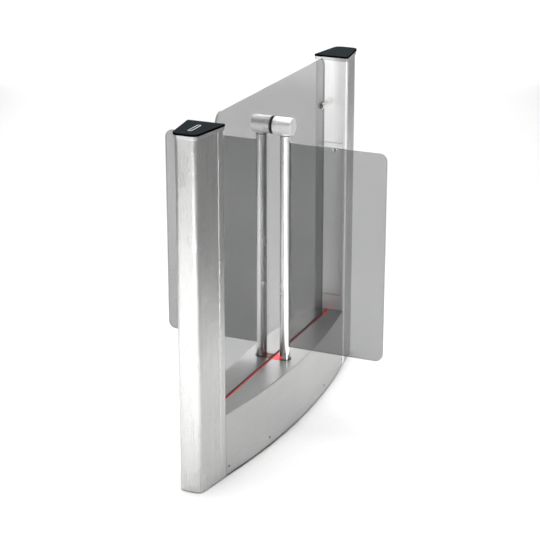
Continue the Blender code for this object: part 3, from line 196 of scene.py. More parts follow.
UPRIGHT_GRAIN = (1800.0, 1800.0, 60.0)
UPRIGHT_BANDS = (260.0, 260.0, 4.0)
LENGTHWISE_GRAIN = (1800.0, 40.0, 1800.0)
LENGTHWISE_BANDS = (260.0, 3.0, 260.0)
LEVEL_GRAIN = (60.0, 60.0, 1500.0)
LEVEL_BANDS = (9.0, 9.0, 320.0)
COARSE_GRAIN = (400.0, 400.0, 400.0)
COARSE_BANDS = (30.0, 30.0, 30.0)
ZINC_GRAIN = (70.0, 70.0, 50.0)
ZINC_BANDS = (18.0, 18.0, 12.0)


class Socket:
    """One output of a shader node, which works in sums and products."""

    def __init__(self, shade, socket):
        self.shade = shade
        self.socket = socket

    def __add__(self, other):
        return self.shade.math("ADD", self, other)

    def __radd__(self, other):
        return self.shade.math("ADD", other, self)

    def __sub__(self, other):
        return self.shade.math("SUBTRACT", self, other)

    def __rsub__(self, other):
        return self.shade.math("SUBTRACT", other, self)

    def __mul__(self, other):
        return self.shade.math("MULTIPLY", self, other)

    def __rmul__(self, other):
        return self.shade.math("MULTIPLY", other, self)


class Shade:
    """The nodes of one material or world, with short ways to add and join them."""

    def __init__(self, owner, coordinates="Object"):
        self.owner = owner
        owner.use_nodes = True
        self.tree = owner.node_tree
        self.tree.nodes.clear()
        self.point = self.node("ShaderNodeTexCoord", {}, {}, coordinates)

    def node(self, kind, settings, sockets, output=0):
        """Adds any node, its settings first and then its sockets, and returns one output."""
        node = self.tree.nodes.new(kind)
        for key, value in settings.items():
            setattr(node, key, value)
        for key, value in sockets.items():
            if isinstance(value, Socket):
                self.tree.links.new(value.socket, node.inputs[key])
            else:
                node.inputs[key].default_value = value
        return Socket(self, node.outputs[output]) if node.outputs else None

    def math(self, operation, first, second=0.0):
        """One Math node on two values."""
        return self.node("ShaderNodeMath", {"operation": operation}, {0: first, 1: second})

    def smooth(self, value, low, high, to_low=0.0, to_high=1.0):
        """Steps smoothly from to_low to to_high as value goes from low to high."""
        return self.node("ShaderNodeMapRange", {"interpolation_type": "SMOOTHSTEP"}, {
            "Value": value, "From Min": low, "From Max": high, "To Min": to_low, "To Max": to_high,
        })

    def colour(self, first, second, factor):
        """Mixes two colours, given as red, green, blue or as sockets."""
        pair = [value if isinstance(value, Socket) else (*value, 1.0) for value in (first, second)]
        sockets = {0: factor, 6: pair[0], 7: pair[1]}
        return self.node("ShaderNodeMix", {"data_type": "RGBA"}, sockets, 2)

    def stretched(self, scale):
        """The coordinates, each multiplied by its own scale."""
        sockets = {0: self.point, 1: scale}
        return self.node("ShaderNodeVectorMath", {"operation": "MULTIPLY"}, sockets)

    def noise(self, scale, detail=2.0):
        """Noise over the object's own coordinates; scale is cycles per metre on each axis."""
        sockets = {"Vector": self.stretched(scale), "Scale": 1.0, "Detail": detail}
        return self.node("ShaderNodeTexNoise", {}, sockets)

    def even_noise(self, scale, detail=2.0):
        """Noise with the same scale on all three axes."""
        return self.noise((scale, scale, scale), detail)

    def along(self, axis):
        """One coordinate: 0, 1 or 2 for x, y or z."""
        return self.node("ShaderNodeSeparateXYZ", {}, {"Vector": self.point}, axis)

    def facing(self, axis):
        """How far the surface faces along x, y or z: one part of its normal."""
        normal = self.node("ShaderNodeNewGeometry", {}, {}, "Normal")
        return self.node("ShaderNodeSeparateXYZ", {}, {"Vector": normal}, axis)

    def wear(self):
        """The piece's own edge value: 1 on its rounded edges and 0 on its faces."""
        return self.node("ShaderNodeAttribute", {"attribute_name": "edge"}, {}, "Fac")

    def bump(self, height, distance):
        """A bumped normal: a height of 1 stands the distance, in metres, above 0."""
        sockets = {"Height": height, "Distance": distance, "Strength": 1.0}
        return self.node("ShaderNodeBump", {}, sockets)

    def surface(self, colour, roughness, **more):
        """The principled shader and the output; more holds sockets, named with underscores."""
        base = colour if isinstance(colour, Socket) else (*colour, 1.0)
        sockets = {"Base Color": base, "Roughness": roughness}
        for key, value in more.items():
            sockets[key.replace("_", " ")] = value
        shader = self.node("ShaderNodeBsdfPrincipled", {}, sockets)
        self.node("ShaderNodeOutputMaterial", {}, {"Surface": shader})
        return self.owner


# Materials


def new_shade(name):
    """The nodes of a new material."""
    return Shade(bpy.data.materials.new(name))


def brushed_metal(name, light, dark, roughness, grain, wide, bump=0.000012, metal=1.0):
    """Brushed metal: fine streaks along the grain, wider bands, and faint handling marks."""
    shade = new_shade(name)
    fine = shade.noise(grain, 3.0)
    bands = shade.noise(wide)
    clouds = shade.noise((9.0, 9.0, 7.0), 3.0)
    streak = fine * 0.6 + bands * 0.4
    edge = shade.wear()
    mixed = shade.colour(dark, light, shade.smooth(streak, 0.36, 0.64))
    worn = shade.colour(mixed, [min(1.0, part * 1.25) for part in light], edge * 0.6)
    marks = shade.smooth(clouds, 0.4, 0.7) * 0.05
    rough = roughness + (streak - 0.5) * 0.16 + marks - edge * 0.06
    return shade.surface(worn, rough, Metallic=metal, Normal=shade.bump(streak, bump))


def polished_metal(name, light, dark, roughness):
    """Polished steel: almost a mirror, with hair scratches and a faint grease film."""
    shade = new_shade(name)
    hair = shade.noise((900.0, 900.0, 60.0))
    film = shade.noise((35.0, 35.0, 14.0), 3.0)
    edge = shade.wear()
    mixed = shade.colour(dark, light, shade.smooth(hair, 0.3, 0.7))
    grease = shade.smooth(film, 0.45, 0.75) * 0.06
    rough = roughness + grease + (hair - 0.5) * 0.05 + edge * 0.05
    return shade.surface(mixed, rough, Metallic=1.0, Normal=shade.bump(hair, 0.000002))


def head_metal(name):
    """Blasted steel of the heads: a fine grain with pale specks and a few short scratches."""
    shade = new_shade(name)
    grain = shade.even_noise(1400.0, 3.0)
    speck = shade.even_noise(520.0)
    scratch = shade.noise((220.0, 1500.0, 1500.0), 1.0)
    pale = shade.smooth(speck, 0.40, 0.66)
    mixed = shade.colour((0.82, 0.82, 0.815), (0.95, 0.95, 0.945), pale)
    marked = shade.colour(mixed, (0.50, 0.50, 0.50), shade.smooth(scratch, 0.66, 0.74) * 0.6)
    rough = 0.48 + (grain - 0.5) * 0.2 + shade.wear() * 0.05
    return shade.surface(marked, rough, Metallic=0.75, Normal=shade.bump(grain, 0.00002))


def moulded(name, light, dark, roughness, grain=1600.0, depth=0.00002, bending=1.4):
    """Moulded plastic or rubber: a fine spark texture, paler where edges are rubbed."""
    shade = new_shade(name)
    spark = shade.even_noise(grain)
    clouds = shade.smooth(shade.even_noise(40.0, 3.0), 0.35, 0.65)
    mixed = shade.colour(dark, light, clouds * 0.6 + shade.wear() * 0.4)
    rough = roughness + (spark - 0.5) * 0.2
    return shade.surface(mixed, rough, IOR=bending, Normal=shade.bump(spark, depth))


def cap_slate(name):
    """The caps' slate grey moulding, with painted shade: its sides, which face sideways, are
    darkened almost to black.
    """
    shade = new_shade(name)
    spark = shade.even_noise(1500.0)
    clouds = shade.even_noise(30.0, 3.0)
    ground = shade.colour((0.019, 0.025, 0.027), (0.024, 0.031, 0.033), clouds)
    # Painted shade: faces that turn away from straight up are darkened almost to black.
    side_shade = shade.smooth(shade.facing(2), 0.9, 0.7)
    mixed = shade.colour(ground, (0.002, 0.002, 0.002), side_shade)
    rough = 0.55 + (spark - 0.5) * 0.2
    return shade.surface(mixed, rough, IOR=1.01, Normal=shade.bump(spark, 0.00001))


def smoked_glass(name):
    """Grey glass of the wings and the pane: less clear towards the bottom and towards the far end,
    faintly clouded by wiping, with fine dust."""
    shade = new_shade(name)
    wipes = shade.noise((14.0, 14.0, 5.0), 3.0)
    dust = shade.even_noise(700.0)
    low = shade.smooth(shade.along(2), 0.75, 0.20)
    far = shade.smooth(shade.along(1), -0.42, 0.42)
    alpha = 0.362 + (wipes - 0.5) * 0.02 + low * 0.05 + far * 0.02
    tint = shade.colour((0.010, 0.012, 0.012), (0.020, 0.024, 0.023), dust)
    rough = 0.04 + shade.smooth(wipes, 0.5, 0.8) * 0.05
    return shade.surface(tint, rough, Alpha=alpha, Specular_IOR_Level=0.4)


def glass_edge(name):
    """Ground and polished glass edge: paler than the glass, with fine grinding lines."""
    shade = new_shade(name)
    lines = shade.even_noise(2500.0)
    mixed = shade.colour((0.09, 0.10, 0.10), (0.15, 0.165, 0.16), lines)
    change = (lines - 0.5) * 0.1
    return shade.surface(mixed, 0.18 + change, Specular_IOR_Level=0.4, Alpha=0.58 + change)


def glowing(name, colour, strength):
    """The red line of light, faintly brighter over each of its small lamps."""
    shade = new_shade(name)
    lamp_spacing = 0.0125
    lamps = shade.math("SINE", shade.along(1) * (2 * math.pi / lamp_spacing))
    bright = [min(1.0, part * 1.35 + 0.02) for part in colour]
    glow = shade.colour(colour, bright, lamps * 0.5 + 0.5)
    rough = 0.35 + lamps * 0.02
    return shade.surface((0.30, 0.01, 0.01), rough, Emission_Color=glow, Emission_Strength=strength)


def circuit_board(name):
    """A green board: copper tracks below the lacquer, in long runs with crossing breaks."""
    shade = new_shade(name)
    tracks = shade.node("ShaderNodeTexBrick", {}, {
        "Vector": shade.stretched((260.0, 260.0, 260.0)),
        "Color1": (1.0, 1.0, 1.0, 1.0),
        "Color2": (0.6, 0.6, 0.6, 1.0),
        "Mortar": (0.0, 0.0, 0.0, 1.0),
        "Scale": 1.0,
        "Mortar Size": 0.06,
        "Brick Width": 1.7,
        "Row Height": 0.45,
    })
    lacquer = shade.even_noise(300.0, 3.0)
    mixed = shade.colour((0.015, 0.075, 0.035), (0.010, 0.048, 0.022), tracks)
    spotted = shade.colour(mixed, (0.020, 0.10, 0.05), lacquer * 0.4)
    return shade.surface(spotted, 0.32 + lacquer * 0.1, Normal=shade.bump(tracks, 0.00003))


MATERIALS = {
    "brushed_steel": brushed_metal(
        "brushed_steel", (0.53, 0.53, 0.525), (0.47, 0.47, 0.465), 0.27,
        UPRIGHT_GRAIN, UPRIGHT_BANDS,
    ),
    # Painted light: a paler, less metallic copy of the brushed steel, for the far post's face and
    # the service door, so that they read as brightly lit behind the glass.
    "lit_copy_face_steel": brushed_metal(
        "lit_copy_face_steel", (0.93, 0.93, 0.925), (0.87, 0.87, 0.865), 0.34,
        UPRIGHT_GRAIN, UPRIGHT_BANDS, metal=0.45,
    ),
    "base_steel": brushed_metal(
        "base_steel", (0.50, 0.50, 0.495), (0.44, 0.44, 0.435), 0.40,
        LENGTHWISE_GRAIN, LENGTHWISE_BANDS,
    ),
    "satin_aluminium": brushed_metal(
        "satin_aluminium", (0.60, 0.60, 0.60), (0.52, 0.52, 0.52), 0.32,
        LEVEL_GRAIN, LEVEL_BANDS,
    ),
    "polished_steel": polished_metal(
        "polished_steel", (0.95, 0.95, 0.94), (0.90, 0.90, 0.89), 0.22,
    ),
    "head_steel": head_metal("head_steel"),
    "dark_steel": brushed_metal(
        "dark_steel", (0.12, 0.12, 0.12), (0.07, 0.07, 0.07), 0.50,
        COARSE_GRAIN, COARSE_BANDS, 0.0001,
    ),
    "zinc_steel": brushed_metal(
        "zinc_steel", (0.58, 0.60, 0.63), (0.42, 0.44, 0.47), 0.38,
        ZINC_GRAIN, ZINC_BANDS, 0.00002,
    ),
    "cap_slate": cap_slate("cap_slate"),
    "black_plastic": moulded(
        "black_plastic", (0.012, 0.012, 0.013), (0.005, 0.005, 0.006), 0.36,
    ),
    "dark_window": moulded(
        "dark_window", (0.004, 0.004, 0.004), (0.002, 0.002, 0.002), 0.50, bending=1.01,
    ),
    "black_rubber": moulded(
        "black_rubber", (0.022, 0.022, 0.022), (0.010, 0.010, 0.010), 0.62, 900.0, 0.00005,
    ),
    "white_plastic": moulded(
        "white_plastic", (0.88, 0.88, 0.87), (0.80, 0.80, 0.79), 0.35,
    ),
    "bush_plastic": moulded(
        "bush_plastic", (0.035, 0.035, 0.037), (0.018, 0.018, 0.019), 0.42,
    ),
    "motor_black": moulded(
        "motor_black", (0.040, 0.040, 0.043), (0.020, 0.020, 0.022), 0.45, 600.0, 0.00004,
    ),
    "red_light": glowing("red_light", (1.0, 0.004, 0.010), 3.0),
    # Painted reflection: the plate by the right foot glows red in place of the light strip's
    # reflection; it is no lamp.
    "red_glint_glow": glowing("red_glint_glow", (1.0, 0.002, 0.006), 1.1),
    "smoked_glass": smoked_glass("smoked_glass"),
    "glass_edge": glass_edge("glass_edge"),
    "circuit_board": circuit_board("circuit_board"),
}
NODE_FINISH = {
    # The far post's face takes the paler copy of the steel, painted light.
    "lit_copy_face_steel": ["far_post_face"],
    "satin_aluminium": ["gearbox_left", "gearbox_right", "wing_clamp_left", "wing_clamp_right"],
    "polished_steel": ["column_plug_left", "column_plug_right", "door_lock"],
    "dark_steel": ["floor_plate"],
    "zinc_steel": [
        "near_post_core", "far_post_core", "power_supply", "door_frame", "head_bolt",
        "drive_bracket", "lower_bearing_left", "lower_bearing_right", "drive_spindle_left",
        "drive_spindle_right",
    ],
    "black_rubber": ["pane_channel"],
    "bush_plastic": ["upper_bush_left", "upper_bush_right"],
    "red_light": ["light_strip"],
    "circuit_board": ["status_board", "control_board"],
    "motor_black": ["drive_motor_left", "drive_motor_right"],
}

# Curves and surfaces


def unit(vectors):
    """Each vector divided by its length."""
    return vectors / np.linalg.norm(vectors, axis=-1, keepdims=True)


def left_of(vectors):
    """Each flat vector turned a quarter turn to its left."""
    return np.stack([-vectors[..., 1], vectors[..., 0]], -1)


def mitre(before, after):
    """The step at a corner that moves both of its sides to their left by one."""
    first, second = left_of(before), left_of(after)
    return (first + second) / (1 + (first * second).sum(1, keepdims=True))


def arc_points(radius, start, end, steps):
    """Points on a circle round the origin, evenly from one angle to the other."""
    angle = np.linspace(start, end, steps)
    return radius * np.stack([np.cos(angle), np.sin(angle)], -1)


def rounded(corners, radii, closed=True, steps=ARC_STEPS):
    """A polyline with round corners: each corner becomes the arc of the circle that touches both
    sides, sampled evenly, with one more point just outside each of its ends."""
    corner = np.asarray(corners, float)
    radius = np.broadcast_to(np.asarray(radii, float), len(corner))[:, None]
    arriving = unit(corner - np.roll(corner, 1, 0))
    leaving = unit(np.roll(corner, -1, 0) - corner)
    turn = np.arctan2((left_of(arriving) * leaving).sum(1), (arriving * leaving).sum(1))[:, None]
    cut = radius * np.tan(np.abs(turn) / 2)
    out = -np.sign(turn) * left_of(arriving)
    start = corner - arriving * cut
    centre = start - out * radius
    angle = turn * np.linspace(0, 1, steps + 1)[None, :]
    cosine, sine = np.cos(angle), np.sin(angle)
    first_axis = cosine * out[:, :1] - sine * out[:, 1:]
    second_axis = sine * out[:, :1] + cosine * out[:, 1:]
    arcs = centre[:, None] + np.stack([first_axis, second_axis], -1) * radius[:, None]
    first = start - arriving * GUARD
    last = corner + leaving * (cut + GUARD)
    groups = np.concatenate([first[:, None], arcs, last[:, None]], 1)
    if closed:
        return groups.reshape(-1, 2)
    return np.concatenate([corner[:1], groups[1:-1].reshape(-1, 2), corner[-1:]])


def inset(outline, distance):
    """The closed outline moved inwards by the distance, mitred at each point."""
    following = np.roll(outline, -1, 0)
    step = mitre(unit(outline - np.roll(outline, 1, 0)), unit(following - outline))
    area = (outline[:, 0] * following[:, 1] - outline[:, 1] * following[:, 0]).sum()
    return outline + np.sign(area) * distance * step


def filled(outline, spacing):
    """The closed outline with further points put evenly on each side longer than the spacing."""
    step = np.roll(outline, -1, 0) - outline
    count = np.ceil(np.linalg.norm(step, axis=1) / spacing).astype(int)
    first = np.repeat(np.cumsum(count) - count, count)
    part = (np.arange(count.sum()) - first) / np.repeat(count, count)
    return np.repeat(outline, count, 0) + np.repeat(step, count, 0) * part[:, None]


def sheet_outline(path, radii, thickness, end=FINE_EDGE):
    """The closed outline of a bent sheet: a path with a bend radius at each corner, and the same
    path moved to its left by the thickness, whose bends have the radius that keeps it even."""
    outer = np.asarray(path, float)
    step = unit(np.diff(outer, axis=0))
    before = np.concatenate([step[:1], step])
    after = np.concatenate([step, step[-1:]])
    inner = outer + mitre(before, after) * thickness
    bend = np.sign((left_of(before) * after).sum(1))
    outer_radii = np.asarray(radii, float)
    inner_radii = np.maximum(outer_radii - bend * thickness, FINE_EDGE)
    outer_radii = np.maximum(outer_radii, FINE_EDGE)
    outer_radii[[0, -1]] = inner_radii[[0, -1]] = end
    corners = np.concatenate([outer, inner[::-1]])
    return rounded(corners, np.concatenate([outer_radii, inner_radii[::-1]]))


def levels(low, high, low_edge=FINE_EDGE, high_edge=FINE_EDGE):
    """Insets and heights from the low face to the high face, a quarter round at each edge."""
    angle = np.linspace(0, math.pi / 2, EDGE_STEPS + 1)
    rows = [(low_edge + GUARD, low)]
    rows += zip(low_edge * (1 - np.sin(angle)), low + low_edge * (1 - np.cos(angle)))
    rows += [(0.0, low + low_edge + GUARD), (0.0, high - high_edge - GUARD)]
    rows += zip(high_edge * (1 - np.cos(angle)), high - high_edge * (1 - np.sin(angle)))
    rows += [(high_edge + GUARD, high)]
    return np.array(rows)


def plain_levels(low, high):
    """Insets and heights of a plate with square edges."""
    return np.array([(0.0, low), (0.0, low + GUARD), (0.0, high - GUARD), (0.0, high)])


def placed(outline, height, plane):
    """Points of a plane figure at a height. The plane names the figure's two axes and then the
    height's."""
    result = np.empty((len(outline), 3))
    axes = ["XYZ".index(letter) for letter in plane]
    result[:, axes[:2]] = outline
    result[:, axes[2]] = height
    return result


def ring_corners(bore, radius, low, high):
    """The corners of a flat ring's profile, from the bore's low edge round to its high edge."""
    return [(bore, low), (radius, low), (radius, high), (bore, high)]


class Net:
    """Collects grids of points and flat faces, and makes one piece of them."""

    def __init__(self):
        self.points = []
        self.edge = []
        self.faces = []
        self.finish = []
        self.size = 0

    def grid(self, points, closed=False, finish=0, edge=0.0):
        """Joins neighbouring points, rows by columns, into quads. Each row is a closed ring,
        closed joins the last row to the first, and edge is the edge value of each row."""
        rows, columns = points.shape[:2]
        index = self.size + np.arange(rows * columns).reshape(rows, columns)
        self.points.append(points.reshape(-1, 3))
        self.edge.append(np.repeat(np.broadcast_to(np.asarray(edge, float), rows), columns))
        self.size += rows * columns
        loop = np.concatenate([index, index[:, :1]], 1)
        loop = np.concatenate([loop, loop[:1]]) if closed else loop
        quads = np.stack([loop[:-1, :-1], loop[:-1, 1:], loop[1:, 1:], loop[1:, :-1]], -1)
        self.faces += quads.reshape(-1, 4).tolist()
        self.finish.append(np.full(quads.shape[0] * quads.shape[1], finish))
        return index

    def close_ends(self, index):
        """Puts a flat face on the first and on the last ring of a grid."""
        self.faces += [index[0][::-1].tolist(), index[-1].tolist()]
        self.finish.append(np.zeros(2, int))

    def loft(self, outline, rows, plane, side=1, rim_finish=0):
        """A plate: the outline inset and raised as each row says, closed by two flat faces.
        A side of -1 mirrors a level plate in Y and an upright one in X."""
        flip = np.ones(3)
        flip["XYZ".index("Y" if plane == "XYZ" else "X")] = side
        rings = [placed(inset(outline, distance), height, plane) for distance, height in rows]
        worn = (rows[:, 0] > 0) * (np.abs(rows[:, 0] - rows[:, 0].max()) > GUARD / 2)
        self.close_ends(self.grid(np.stack(rings) * flip, finish=rim_finish, edge=worn))

    def revolve(self, profile, centre, direction, ring=False, steps=ROUND_STEPS):
        """A turned form: each profile point, as radius and place along the direction, makes a
        circle. A ring's profile is closed, and any other form gets two flat ends."""
        axis = unit(np.asarray(direction, float))
        upright = abs(axis[2]) > 0.9
        first = unit(np.cross(axis, (1.0, 0.0, 0.0) if upright else UP))
        second = np.cross(axis, first)
        angle = np.linspace(0, 2 * math.pi, steps, endpoint=False)[:, None]
        circle = np.cos(angle) * first + np.sin(angle) * second
        profile = np.asarray(profile, float)
        points = profile[:, :1, None] * circle + profile[:, 1:, None] * axis + np.asarray(centre)
        index = self.grid(points, closed=ring)
        if not ring:
            self.close_ends(index)

    def washer(self, outline, centre, radius, rows, plane="XYZ"):
        """A plate with a round hole: each outline point has a partner on the hole, in line with
        the hole's centre, and rows are the insets and heights of both."""
        outline = filled(outline, HOLE_SPACING)
        spoke = unit(outline - centre)
        outer = [placed(inset(outline, distance), height, plane) for distance, height in rows]
        inner = [
            placed(centre + spoke * (radius + distance), height, plane)
            for distance, height in rows[::-1]
        ]
        self.grid(np.stack(outer + inner), closed=True)

    def piece(self, name, body, finishes, replaces=(), slot=None):
        """Makes the mesh, gives it its finishes and puts it on its body."""
        mesh = bpy.data.meshes.new(name)
        mesh.from_pydata(np.concatenate(self.points), [], self.faces)
        mesh.polygons.foreach_set("material_index", np.concatenate(self.finish).astype(np.int32))
        mesh.polygons.foreach_set("use_smooth", np.ones(len(mesh.polygons), bool))
        edge = mesh.attributes.new("edge", "FLOAT", "POINT")
        edge.data.foreach_set("value", np.concatenate(self.edge).astype(np.float32))
        edit = bmesh.new()
        edit.from_mesh(mesh)
        bmesh.ops.recalc_face_normals(edit, faces=edit.faces)
        edit.to_mesh(mesh)
        edit.free()
        for finish in finishes:
            mesh.materials.append(MATERIALS[finish])
        result = bpy.data.objects.new(name, mesh)
        bpy.context.scene.collection.objects.link(result)
        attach(result, body)
        if replaces:
            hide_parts(*replaces)


# Posts

SIDES = (("near", -1), ("far", 1))
LANES = (("left", -1), ("right", 1))
SIDE_STEP = unit(np.array([BACK_HALF - FACE_HALF, BACK_Y - FACE_Y]))
SIDE_IN = left_of(SIDE_STEP)


def side_point(along, inward):
    """A point on the post's right side: along it from the wide face, and inwards from it."""
    return np.array([FACE_HALF, FACE_Y]) + SIDE_STEP * along + SIDE_IN * inward


def mirrored(point):
    """The same point on the post's other side: x changes its sign."""
    return np.array([-point[0], point[1]])


def post_shell(name, side):
    """The shell's bent sheet: up one tapering side, round the narrow back and down the other."""
    seam = side_point(RETURN_WIDTH + JOGGLE_WIDTH + GAP, 0)
    path = [seam, (BACK_HALF, BACK_Y), (-BACK_HALF, BACK_Y), mirrored(seam)]
    outline = sheet_outline(path, [0, BACK_RADIUS, BACK_RADIUS, 0], SHELL_WALL, SHELL_EDGE)
    net = Net()
    net.loft(outline, levels(POST_FOOT, SHELL_TOP), "XYZ", side)
    finishes, replaced = ["brushed_steel"], [f"{name}_post_shell"]
    net.piece(f"{name}_shell_skin", "housing", finishes, replaced, "brushed_steel")


def post_face(name, side):
    """The wide face's bent sheet: a flat front, a short return down each side, then a steep step
    inwards and a tongue behind the shell."""
    behind = SHELL_WALL + GAP
    seam = RETURN_WIDTH + JOGGLE_WIDTH
    half = [
        side_point(seam + TONGUE_WIDTH, behind),
        side_point(seam - GAP, behind),
        side_point(seam - GAP - STEP_WIDTH, 0),
        side_point(0, 0),
    ]
    half_radii = [0, FOLD_RADIUS, FOLD_RADIUS, FACE_RADIUS]
    path = half + [mirrored(point) for point in half[::-1]]
    outline = sheet_outline(path, half_radii + half_radii[::-1], -FACE_SHEET)
    net = Net()
    net.loft(outline, levels(POST_FOOT, SHELL_TOP), "XYZ", side)
    finishes, replaced = ["brushed_steel"], [f"{name}_post_face"]
    net.piece(f"{name}_face_skin", "housing", finishes, replaced, "brushed_steel")


def post_outline(offset, back_radius, face_radius):
    """The post's section grown by an offset: a wide face, tapering sides and a round back."""
    start = side_point(0, -offset)
    face_corner = start + SIDE_STEP * ((FACE_Y - offset - start[1]) / SIDE_STEP[1])
    back_corner = start + SIDE_STEP * ((BACK_Y + offset - start[1]) / SIDE_STEP[1])
    corners = [face_corner, back_corner, mirrored(back_corner), mirrored(face_corner)]
    return rounded(corners, [face_radius, back_radius, back_radius, face_radius], steps=POST_STEPS)


def post_top(name, side):
    """The metal collar and the cap, each the post's section grown a little, with round edges."""
    collar = Net()
    outline = post_outline(COLLAR_PROUD, BACK_RADIUS + COLLAR_PROUD, FACE_RADIUS)
    collar.loft(outline, levels(COLLAR_LOW, COLLAR_HIGH, *COLLAR_EDGES), "XYZ", side)
    finishes, replaced = ["satin_aluminium"], [f"{name}_post_collar"]
    collar.piece(f"{name}_collar_band", "housing", finishes, replaced, "satin_aluminium")
    cap = Net()
    outline = post_outline(CAP_PROUD, BACK_RADIUS + CAP_PROUD, CAP_RADIUS)
    cap.loft(outline, levels(CAP_HIGH - CAP_THICKNESS, CAP_HIGH, *CAP_EDGES), "XYZ", side)
    cap.piece(f"{name}_cap_plate", "housing", ["cap_slate"], [f"{name}_post_cap"], "cap_slate")


def stadium(half_length, radius, centre_y):
    """An outline with two straight sides along Y and an almost half round end at each side."""
    shares = ((1, -1), (1, 1), (-1, 1), (-1, -1))
    corners = [(x * radius, centre_y + y * half_length) for x, y in shares]
    return rounded(corners, radius - 2 * GUARD, steps=RING_STEPS)


def status_light():
    """The white ring and the dark window set in the near cap."""
    centre_y = (RIM_LOW.y + RIM_HIGH.y) / 2
    half_length = (RIM_HIGH.y - RIM_LOW.y) / 2
    half_width = RIM_HIGH.x
    outer = stadium(half_length, half_width, centre_y)
    inner = stadium(half_length - RING_WIDTH, half_width - RING_WIDTH, centre_y)
    rows = levels(RIM_LOW.z - RING_SINK, RIM_HIGH.z, RING_EDGE, RING_EDGE)
    rings = [placed(inset(outer, distance), height, "XYZ") for distance, height in rows]
    rings += [placed(inset(inner, -distance), height, "XYZ") for distance, height in rows[::-1]]
    rim = Net()
    rim.grid(np.stack(rings), closed=True)
    rim.piece("status_ring", "housing", ["white_plastic"], ["status_rim"], "white_plastic")
    window = Net()
    window.loft(inset(inner, WINDOW_PLAY), levels(RIM_LOW.z, CAP_HIGH + WINDOW_PROUD), "XYZ")
    window.piece("status_lens", "housing", ["dark_window"], ["status_window"], "black_plastic")


for post_name, post_side in SIDES:
    post_shell(post_name, post_side)
    post_top(post_name, post_side)
post_face("near", -1)
status_light()

# Base

FOOT_HOLE = BEZEL_RADIUS + GAP


def small_screw(name, body, place, direction, radius, finish):
    """A button head screw: a low dome round a deep socket, drawn as a turned form. The profile's
    shares are of the head's radius."""
    profile_shares = np.array([
        (0.0001, -0.4), (0.36, -0.4), (0.40, 0.30), (0.46, 0.36), (0.72, 0.30), (0.90, 0.18),
        (0.99, 0.04), (1.0, -0.1), (0.96, -0.3),
    ])
    net = Net()
    net.revolve(profile_shares * radius, place, direction, steps=SCREW_STEPS)
    net.piece(name, body, [finish])


def bow(y):
    """The base's half width: an arc whose ends meet the posts' wide faces."""
    sagitta = BOW_RADIUS - np.sqrt(BOW_RADIUS ** 2 - np.asarray(y, float) ** 2)
    return BASE_BOW - sagitta


def base_stations():
    """Places along the base: close together at its ends, and even in angle round the foot."""
    end_step, lead_step, hole_step = 0.0001, 0.0010, 0.0001
    ends = np.array([-BASE_END, -BASE_END + end_step])
    lead = np.linspace(-BASE_END + lead_step, -FOOT_HOLE - hole_step, BOW_STEPS)
    round_part = FOOT_HOLE * np.sin(np.linspace(-math.pi / 2, math.pi / 2, FOOT_STEPS))
    return np.concatenate([ends, lead, round_part, -lead[::-1], -ends[::-1]])


def base_cover(lane, side):
    """One half of the base: the section of a bent sheet, swept along the base while its outer wall
    follows the bow and its inner edge steps round the column's foot on a half circle."""
    path = [
        (GROOVE_HALF, BASE_TOP - COVER_FLANGE - COVER_SHEET),
        (GROOVE_HALF, BASE_TOP),
        (BASE_BOW, BASE_TOP),
        (BASE_BOW, BASE_FOOT),
    ]
    section = sheet_outline(path, [0, COVER_FLANGE_BEND, COVER_BEND, 0], -COVER_SHEET)
    across, height = section[:, 0], section[:, 1]
    y = base_stations()
    rounding = 1e-7
    foot_edge = AXIS_X + np.sqrt(np.maximum(FOOT_HOLE ** 2 - y ** 2, 0))
    inner_edge = np.where(np.abs(y) <= FOOT_HOLE + rounding, foot_edge, GROOVE_HALF)
    near_groove = across + inner_edge[:, None] - GROOVE_HALF
    near_wall = across + bow(y)[:, None] - BASE_BOW
    x = side * np.where(across < BASE_BOW / 2, near_groove, near_wall)
    y_grid = np.broadcast_to(y[:, None], x.shape)
    z_grid = np.broadcast_to(height, x.shape)
    net = Net()
    net.close_ends(net.grid(np.stack([x, y_grid, z_grid], -1)))
    finishes, replaced = ["base_steel"], [f"base_cover_{lane}"]
    net.piece(f"base_sheet_{lane}", "housing", finishes, replaced, "brushed_steel")


def foot_bezel(lane, side):
    """The black insert round a column: half a stadium with a round hole and a fine round rim."""
    reach = BEZEL_RADIUS
    outer_x = AXIS_X + reach
    corners = [(outer_x, -reach), (outer_x, reach), (GROOVE_HALF, reach), (GROOVE_HALF, -reach)]
    round_end = reach - 2 * GUARD
    radii = [round_end, round_end, BEZEL_CORNER, BEZEL_CORNER]
    outline = rounded(corners, radii, steps=WIDE_STEPS) * (side, 1)
    rows = levels(BEZEL_LOW.z, BEZEL_HIGH.z, FINE_EDGE, BEZEL_EDGE)
    net = Net()
    net.washer(outline, np.array([side * AXIS_X, 0.0]), TUBE_RADIUS + GAP, rows)
    finishes, replaced = ["black_plastic"], [f"foot_bezel_{lane}"]
    net.piece(f"bezel_{lane}", "housing", finishes, replaced, "black_plastic")


